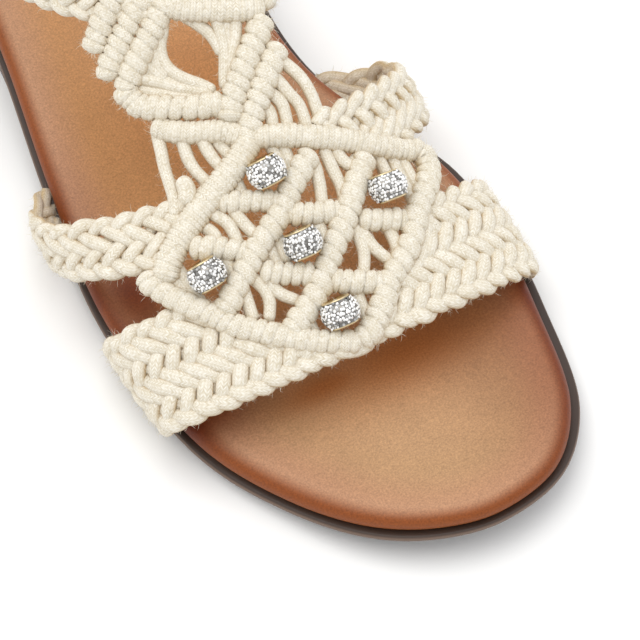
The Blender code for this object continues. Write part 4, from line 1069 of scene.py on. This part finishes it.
KNOT_SIZE = 1.4
BEADS = ((-0.8, 85.8), (22.1, 72.3), (-22.6, 70.9), (-1.4, 68.8), (-0.6, 52.3))
BEAD_CENTRE = 5.0
BEAD_CORD_HALF = 2.9     # the cord of a bead shows only in its hole; beyond, the ridges cover it
BEAD_CORD_POINTS = 44

# %% Cords
LOOSE_HALF = (1.45, 1.4)
LOOSE_SIDES = 14
LOOSE_END = 1.3             # length of a rounded end
LOOSE_WAVE = (0.04, 2.3)    # slow change of thickness: share, length
LOOSE_STEPS = 14


def loose_cord(basket, line, start_lift, end_lift, size=1.0):
    """Cord along a chart line, its height over the foot changing evenly, with rounded ends."""
    path, outward = on_foot(line, np.linspace(start_lift, end_lift, len(line)))
    run = lengths(path)
    plump = 1.0 + LOOSE_WAVE[0] * np.sin(run / LOOSE_WAVE[1])
    full = size * end_round(run, LOOSE_END * size)[:, None] * plump[:, None]
    rings = tube(path, outward, LOOSE_HALF[0] * full, LOOSE_HALF[1] * full, LOOSE_SIDES)
    basket.add(rings, run, CORD_GIRTH)


basket = CordBasket()
for start_lift, end_lift, places in FREE_CORDS:
    loose_cord(basket, smooth_line(places, LOOSE_STEPS), start_lift, end_lift)
loose_cord(basket, smooth_line(KNOT_END, LOOSE_STEPS), KNOT_LIFT, KNOT_LIFT, KNOT_SIZE)
for u0, t0, u1, t1 in BEAD_SIDE_CORDS:
    line = smooth_line(((u0, t0), (u1, t1)), SIDE_CORD_STEPS)
    loose_cord(basket, line, SIDE_CORD_LIFT, SIDE_CORD_LIFT)
share = np.linspace(-1.0, 1.0, BEAD_CORD_POINTS)
for u, t in BEADS:
    line = np.stack([np.full(len(share), u), t - BEAD_CORD_HALF * share], 1)
    loose_cord(basket, line, BEAD_CENTRE, BEAD_CENTRE)
basket.piece("loose_cords")

# %% [markdown]
# ## Ankle strap
# The strap that holds the heel leaves the eye and runs round the ankle. Only its start shows in the
# picture, so it is a plain narrow braid of the same cord. The braid function is the same as before; only
# the surface under it changes, from the chart of the foot to a leaning ribbon round the ankle.

# %% Ankle braid
ANKLE_MIDDLE = (-3.0, 183.0)
ANKLE_RADII = (36.0, 54.0)
ANKLE_DIP = 10.0
ANKLE_RISE = 9.0
ANKLE_LEAN = (30.0, 95.0)
ANKLE_OFFSET = 2.4
ANKLE_BAND = {"rows": 4, "row": 2.85, "pitch": 4.7, "half": (1.45, 1.05), "swing": 0.85}
ANKLE_STEPS = 1200
ANKLE_SIDES = 10


def ankle_ribbon(turn):
    """Middle of the ankle strap, its width direction and its outward direction at angles round the leg."""
    back = (1.0 - np.cos(turn)) / 2
    front_z = float(crest_value(np.array(ANKLE_MIDDLE[1] - ANKLE_RADII[1]), 2)) + ANKLE_OFFSET
    middle = np.stack([
        ANKLE_MIDDLE[0] + ANKLE_RADII[0] * np.sin(turn),
        ANKLE_MIDDLE[1] - ANKLE_RADII[1] * np.cos(turn),
        front_z - ANKLE_DIP * np.sin(turn) ** 2 + ANKLE_RISE * back,
    ], 1)
    lean = np.radians(ANKLE_LEAN[0] + (ANKLE_LEAN[1] - ANKLE_LEAN[0]) * back)
    width = np.stack([np.zeros_like(lean), np.cos(lean), np.sin(lean)], 1)
    outward = unit(np.cross(np.gradient(middle, axis=0), width))
    return middle, width, outward


turn = np.linspace(0.0, 2.0 * math.pi, ANKLE_STEPS)
middle, width, outward = ankle_ribbon(turn)
along = lengths(middle)
basket = CordBasket()
for strand in range(2 * ANKLE_BAND["rows"] - 1):
    place, height = braid_wave(along, ANKLE_BAND, strand)
    side = (place - ANKLE_BAND["rows"] / 2) * ANKLE_BAND["row"]
    path = middle + width * side[:, None] + outward * (ANKLE_BAND["swing"] * height)[:, None]
    basket.add(tube(path, outward, *ANKLE_BAND["half"], ANKLE_SIDES), lengths(path), CORD_GIRTH)
basket.piece("ankle_braid")

# %% [markdown]
# ## Beads
# Five short barrel beads are threaded on the bead cords. Each is a metal barrel with a gold-coloured
# rim at both ends, paved with small clear stones. The barrel and its rims are one turned profile; the
# stones are one small faceted crown repeated in staggered rows, so they glint from every side.

# %% Metals and stones
pave, tree = new_finish("polished_plated_metal")
place = add_node(tree, "ShaderNodeTexCoord")
rim_mark = add_node(tree, "ShaderNodeAttribute", {"attribute_name": "rim"})
WEAR_MM = 0.6
wear = add_node(tree, "ShaderNodeTexNoise", {"inputs": {
    "Vector": place.outputs["Object"], "Scale": 1.0 / (WEAR_MM * MM), "Detail": 2.0}})
plating = add_node(tree, "ShaderNodeMix", {"data_type": "RGBA", "inputs": {
    "Factor": rim_mark.outputs["Fac"], 6: hex_colour("8a8782"), 7: hex_colour("e0cda6")}})
gloss = add_node(tree, "ShaderNodeMapRange", {"inputs": {
    "Value": wear.outputs["Fac"], "To Min": 0.14, "To Max": 0.3}})
# Polished plating mirrors the room: bright along the rim, dark in the beds between the stones.
skin = add_node(tree, "ShaderNodeBsdfPrincipled", {"inputs": {
    "Base Color": plating.outputs[2], "Metallic": 1.0, "Roughness": gloss.outputs["Result"]}})
add_node(tree, "ShaderNodeOutputMaterial", {"inputs": {"Surface": skin.outputs["BSDF"]}})

stone, tree = new_finish("foiled_cut_glass")
# Painted reflection: each stone is grey or white by chance, for the dark and bright things its facets
# mirror.
painted_reflection = add_node(tree, "ShaderNodeAttribute", {"attribute_name": "painted_reflection"})
glint = add_node(tree, "ShaderNodeMix", {"data_type": "RGBA", "inputs": {
    "Factor": painted_reflection.outputs["Fac"], 6: hex_colour("6e6c68"), 7: hex_colour("ffffff")}})
# A foil-backed stone throws light straight back, so each facet is a small clear mirror.
skin = add_node(tree, "ShaderNodeBsdfPrincipled", {"inputs": {
    "Base Color": glint.outputs[2], "Metallic": 0.45, "Roughness": 0.1, "Coat Weight": 0.6,
    "Coat Roughness": 0.03}})
add_node(tree, "ShaderNodeOutputMaterial", {"inputs": {"Surface": skin.outputs["BSDF"]}})

# %% Bead barrels
BEAD_TIP = math.radians(14.0)   # the toe end of a bead hangs a little
BEAD_AHEAD = 0.5                # step on the chart that gives the way of a bead's axis
BEAD_PROFILE = np.array((  # along the axis, radius, 1 on the gold-coloured rim
    (-2.3, 1.6, 1.0), (-2.8, 2.1, 1.0), (-3.1, 2.7, 1.0), (-3.15, 3.1, 1.0), (-2.9, 3.3, 1.0),
    (-2.7, 3.2, 0.0), (-1.4, 4.0, 0.0), (0.0, 4.3, 0.0), (1.4, 4.0, 0.0), (2.7, 3.2, 0.0),
    (2.9, 3.3, 1.0), (3.15, 3.1, 1.0), (3.1, 2.7, 1.0), (2.8, 2.1, 1.0), (2.3, 1.6, 1.0),
))
BEAD_SIDES = 40


def bead_axes(bead):
    """Centre of a bead, then its axis, side and upward directions, turned by the tip of the bead."""
    place = np.array(bead)[None, :]
    centre, up = on_foot(place, [BEAD_CENTRE])
    ahead = on_foot(place + (0.0, BEAD_AHEAD), [BEAD_CENTRE])[0] - centre
    level = unit(ahead - (ahead * up).sum() * up)[0]
    axis = level * math.cos(BEAD_TIP) + up[0] * math.sin(BEAD_TIP)
    up = up[0] * math.cos(BEAD_TIP) - level * math.sin(BEAD_TIP)
    return centre, axis, np.cross(axis, up), up


def spokes(turn, aside, up):
    """Directions at angles round an axis: the cosine's share of aside and the sine's share of up."""
    return np.cos(turn)[..., None] * aside + np.sin(turn)[..., None] * up


def barrel(centre, axis, aside, up):
    """Turned profile: at each station along the axis, a ring of the profile's radius."""
    spoke = spokes(np.linspace(0.0, 2.0 * math.pi, BEAD_SIDES, endpoint=False), aside, up)
    rings = centre + axis * BEAD_PROFILE[:, None, :1] + spoke[None] * BEAD_PROFILE[:, None, 1:2]
    return rings.reshape(-1, 3)


def repeat_faces(faces, count, step):
    """Faces of one shape for count shapes, each with its own step points, one after the other."""
    return (np.arange(count)[:, None, None] * step + faces).reshape(-1, faces.shape[1])


bead_places = [bead_axes(bead) for bead in BEADS]
one_barrel = grid_faces(len(BEAD_PROFILE), BEAD_SIDES, wrap=True)[:, ::-1]
beads = add_piece("bead_barrels", np.vstack([barrel(*place) for place in bead_places]),
                  [repeat_faces(one_barrel, len(BEADS), len(BEAD_PROFILE) * BEAD_SIDES)],
                  pave,
                  marks={"rim": np.tile(np.repeat(BEAD_PROFILE[:, 2], BEAD_SIDES), len(BEADS))})
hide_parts("bead_1", "bead_2", "bead_3", "bead_4", "bead_5")

# %% Bead stones
PAVED = BEAD_PROFILE[4:-4]       # the barrel between its rims
PAVED_LEAN = np.arctan(-np.gradient(PAVED[:, 1], PAVED[:, 0]))
STONE_ROWS = (-2.31, -1.65, -0.99, -0.33, 0.33, 0.99, 1.65, 2.31)
STONE_SPACING = 0.72
STONE_HALF = 0.38
STONE_CROWN = (  # radius share, height share of the half width
    (1.0, 0.0), (0.98, 0.14), (0.55, 0.52),
)
STONE_SIDES = 8
STONE_SHIFT = 0.12               # spread of the places round a row, in spacings
STONE_TILT = 0.2                 # spread of the tilt
STONE_SLIDE = 0.15               # spread of the places along the axis
STONE_SPIN = 1.0                 # most by which chance turns a stone, in radians
BRIGHT_SHARE = 0.72              # of all stones; the others get a darker painted reflection, by chance
DULL_MOST = 0.6


def stone_row(place, row, station):
    """Points of all stones in a row round a bead, and the brightness of each stone's painted reflection.

    A stone is a faceted crown of a few rings; it faces out from the barrel, tilted a little by chance.
    """
    centre, axis, aside, up = place
    radius = float(np.interp(station, PAVED[:, 0], PAVED[:, 1]))
    lean = float(np.interp(station, PAVED[:, 0], PAVED_LEAN))
    count = int(2.0 * math.pi * radius / STONE_SPACING)
    number = np.arange(count) + 0.5 * (row % 2) + rng.normal(0.0, STONE_SHIFT, count)
    out = spokes(2.0 * math.pi * number / count, aside, up)
    tilt = rng.normal(0.0, STONE_TILT, (count, 2))
    facing = out * math.cos(lean) + axis * math.sin(lean) + axis * tilt[:, :1]
    facing = unit(facing + np.cross(axis, out) * tilt[:, 1:])
    side_way = unit(np.cross(facing, axis))[:, None]
    end_way = np.cross(facing[:, None], side_way)
    seat = centre + axis * (station + rng.normal(0.0, STONE_SLIDE, (count, 1))) + out * radius
    facet = 2.0 * math.pi * np.arange(STONE_SIDES) / STONE_SIDES + rng.uniform(0.0, STONE_SPIN, (count, 1))
    flat = spokes(facet, side_way, end_way)
    rings = [seat[:, None] + flat * (STONE_HALF * share) + facing[:, None] * (STONE_HALF * tall)
             for share, tall in STONE_CROWN]
    bright = np.where(rng.uniform(size=count) < BRIGHT_SHARE, 1.0, rng.uniform(0.0, DULL_MOST, count))
    return np.stack(rings, 1).reshape(-1, 3), bright


rows = [stone_row(place, row, station) for place in bead_places for row, station in enumerate(STONE_ROWS)]
stone_points = np.vstack([points for points, bright in rows])
brightness = np.concatenate([bright for points, bright in rows])
stone_size = len(STONE_CROWN) * STONE_SIDES
crown = grid_faces(len(STONE_CROWN), STONE_SIDES, wrap=True)[:, ::-1]
top = np.arange(stone_size - STONE_SIDES, stone_size)[None, :]
add_piece("bead_stones", stone_points,
          [repeat_faces(block, len(brightness), stone_size) for block in (crown, top)],
          stone, marks={"painted_reflection": np.repeat(brightness, stone_size)}, flat=True)

# %% [markdown]
# ## Fuzz
# Cotton sheds short loose fibres, which soften the outline of every cord. Blender's hair would not
# travel with the exported model, so each fibre is a thin ribbon of two bent spans, planted on a random
# point of a cord and leaning a little away from its surface.

# %% Fibres
FIBRES = {"front_braid": 11000, "rear_braid": 7000, "panel_ridges": 8000, "eye_ridges": 6000,
          "loose_cords": 3000, "ankle_braid": 7000}
FIBRE_LENGTH = (0.5, 1.7)
FIBRE_POWER = 1.3         # spreads the lengths
FIBRE_WIDTH = 0.065
FIBRE_STRAY = 0.8         # spread of the way a fibre starts, beside a normal of length 1
FIBRE_BEND = 0.5          # spread of its bend half way
FIBRE_TIP = 0.4           # share of the width left at the tip
FIBRE_QUADS = np.array(((0, 1, 3, 2), (2, 3, 5, 4)))   # of the six points of a fibre
roots, leans = [], []
for name, count in FIBRES.items():
    mesh = pieces[name].data
    where = np.zeros(len(mesh.vertices) * 3, np.float32)
    normals = np.zeros(len(mesh.vertices) * 3, np.float32)
    mesh.vertices.foreach_get("co", where)
    mesh.vertex_normals.foreach_get("vector", normals)
    pick = rng.integers(0, len(mesh.vertices), count)
    roots.append(where.reshape(-1, 3)[pick] / MM + ORIGIN)
    leans.append(normals.reshape(-1, 3)[pick])
roots, leans = np.vstack(roots), np.vstack(leans)
stray = rng.normal(0.0, FIBRE_STRAY, roots.shape)
length = rng.uniform(*FIBRE_LENGTH, (len(roots), 1)) ** FIBRE_POWER
first_way = unit(leans + stray)
second_way = unit(first_way + rng.normal(0.0, FIBRE_BEND, roots.shape))
flat_way = unit(np.cross(first_way, rng.normal(0.0, 1.0, roots.shape))) * FIBRE_WIDTH / 2
bend = roots + first_way * length * 0.5
tip = bend + second_way * length * 0.5
spine = np.stack([roots - flat_way, roots + flat_way, bend - flat_way, bend + flat_way,
                  tip - flat_way * FIBRE_TIP, tip + flat_way * FIBRE_TIP], 1)
start = np.arange(len(roots))[:, None] * spine.shape[1]
fibre_faces = np.vstack([start + quad for quad in FIBRE_QUADS])
add_piece("cotton_fuzz", spine.reshape(-1, 3), [fibre_faces], cotton,
          uv=np.zeros((fibre_faces.size, 2)))

# %% [markdown]
# ## Floor, light and camera
# The shoe stands on white paper in even studio light. A broad soft light high behind its outer side models
# the cords, a weaker one stands over the inner side, and the pale surroundings fill the shade. The camera
# looks down on the toes from the outer side, with a long lens, as the picture was taken.

# %% Floor
paper, tree = new_finish("matt_white_paper")
skin = add_node(tree, "ShaderNodeBsdfPrincipled", {"inputs": {
    "Base Color": hex_colour("fcfcfc"), "Roughness": 0.95, "Specular IOR Level": 0.1}})
add_node(tree, "ShaderNodeOutputMaterial", {"inputs": {"Surface": skin.outputs["BSDF"]}})
FLOOR_HALF = 3.0
floor_mesh = bpy.data.meshes.new("floor")
floor_mesh.from_pydata([(-FLOOR_HALF, -FLOOR_HALF, 0.0), (FLOOR_HALF, -FLOOR_HALF, 0.0),
                        (FLOOR_HALF, FLOOR_HALF, 0.0), (-FLOOR_HALF, FLOOR_HALF, 0.0)], [], [(0, 1, 2, 3)])
floor_mesh.materials.append(paper)
floor = bpy.data.objects.new("floor", floor_mesh)
bpy.context.scene.collection.objects.link(floor)

# %% Light
WORLD_STRENGTH = 0.8
world = bpy.data.worlds.new("studio")
bpy.context.scene.world = world
world.use_nodes = True
world.node_tree.nodes["Background"].inputs["Color"].default_value = (1.0, 1.0, 1.0, 1.0)
world.node_tree.nodes["Background"].inputs["Strength"].default_value = WORLD_STRENGTH
bpy.context.scene.view_settings.view_transform = "Standard"


def add_light(name, place, aim, size, power, colour):
    """Square area light at a place in metres, turned to its aim."""
    lamp = bpy.data.lights.new(name, "AREA")
    lamp.size = size
    lamp.energy = power
    lamp.color = hex_colour(colour)[:3]
    added = bpy.data.objects.new(name, lamp)
    added.location = place
    added.rotation_euler = (Vector(aim) - Vector(place)).to_track_quat("-Z", "Y").to_euler()
    bpy.context.scene.collection.objects.link(added)
    print(f"{name} light: {size} m wide, {power} W")


PICTURE_MIDDLE = np.array((-2.0, 60.7, 10.0))   # x, t and height that the camera looks at
AIM = Vector((PICTURE_MIDDLE - ORIGIN) * MM)
add_light("key", (-0.35, 0.3, 1.3), AIM, 1.3, 9.0, "fffdf8")
add_light("fill", (0.6, 0.0, 1.2), AIM, 1.4, 3.8, "fdfdff")

# %% Camera
AZIMUTH = math.radians(-27.0)
ELEVATION = math.radians(62.0)
DISTANCE = 0.9
LENS = 227.1
lens = bpy.data.cameras.new("camera")
lens.lens = LENS
lens.sensor_width = 36.0
lens.clip_start = 0.01
camera = bpy.data.objects.new("camera", lens)
back = Vector((math.sin(AZIMUTH) * math.cos(ELEVATION), -math.cos(AZIMUTH) * math.cos(ELEVATION),
               math.sin(ELEVATION)))
camera.location = AIM + back * DISTANCE
camera.rotation_euler = back.to_track_quat("Z", "Y").to_euler()
bpy.context.scene.collection.objects.link(camera)
bpy.context.scene.camera = camera
print("camera at", [round(value, 3) for value in camera.location])
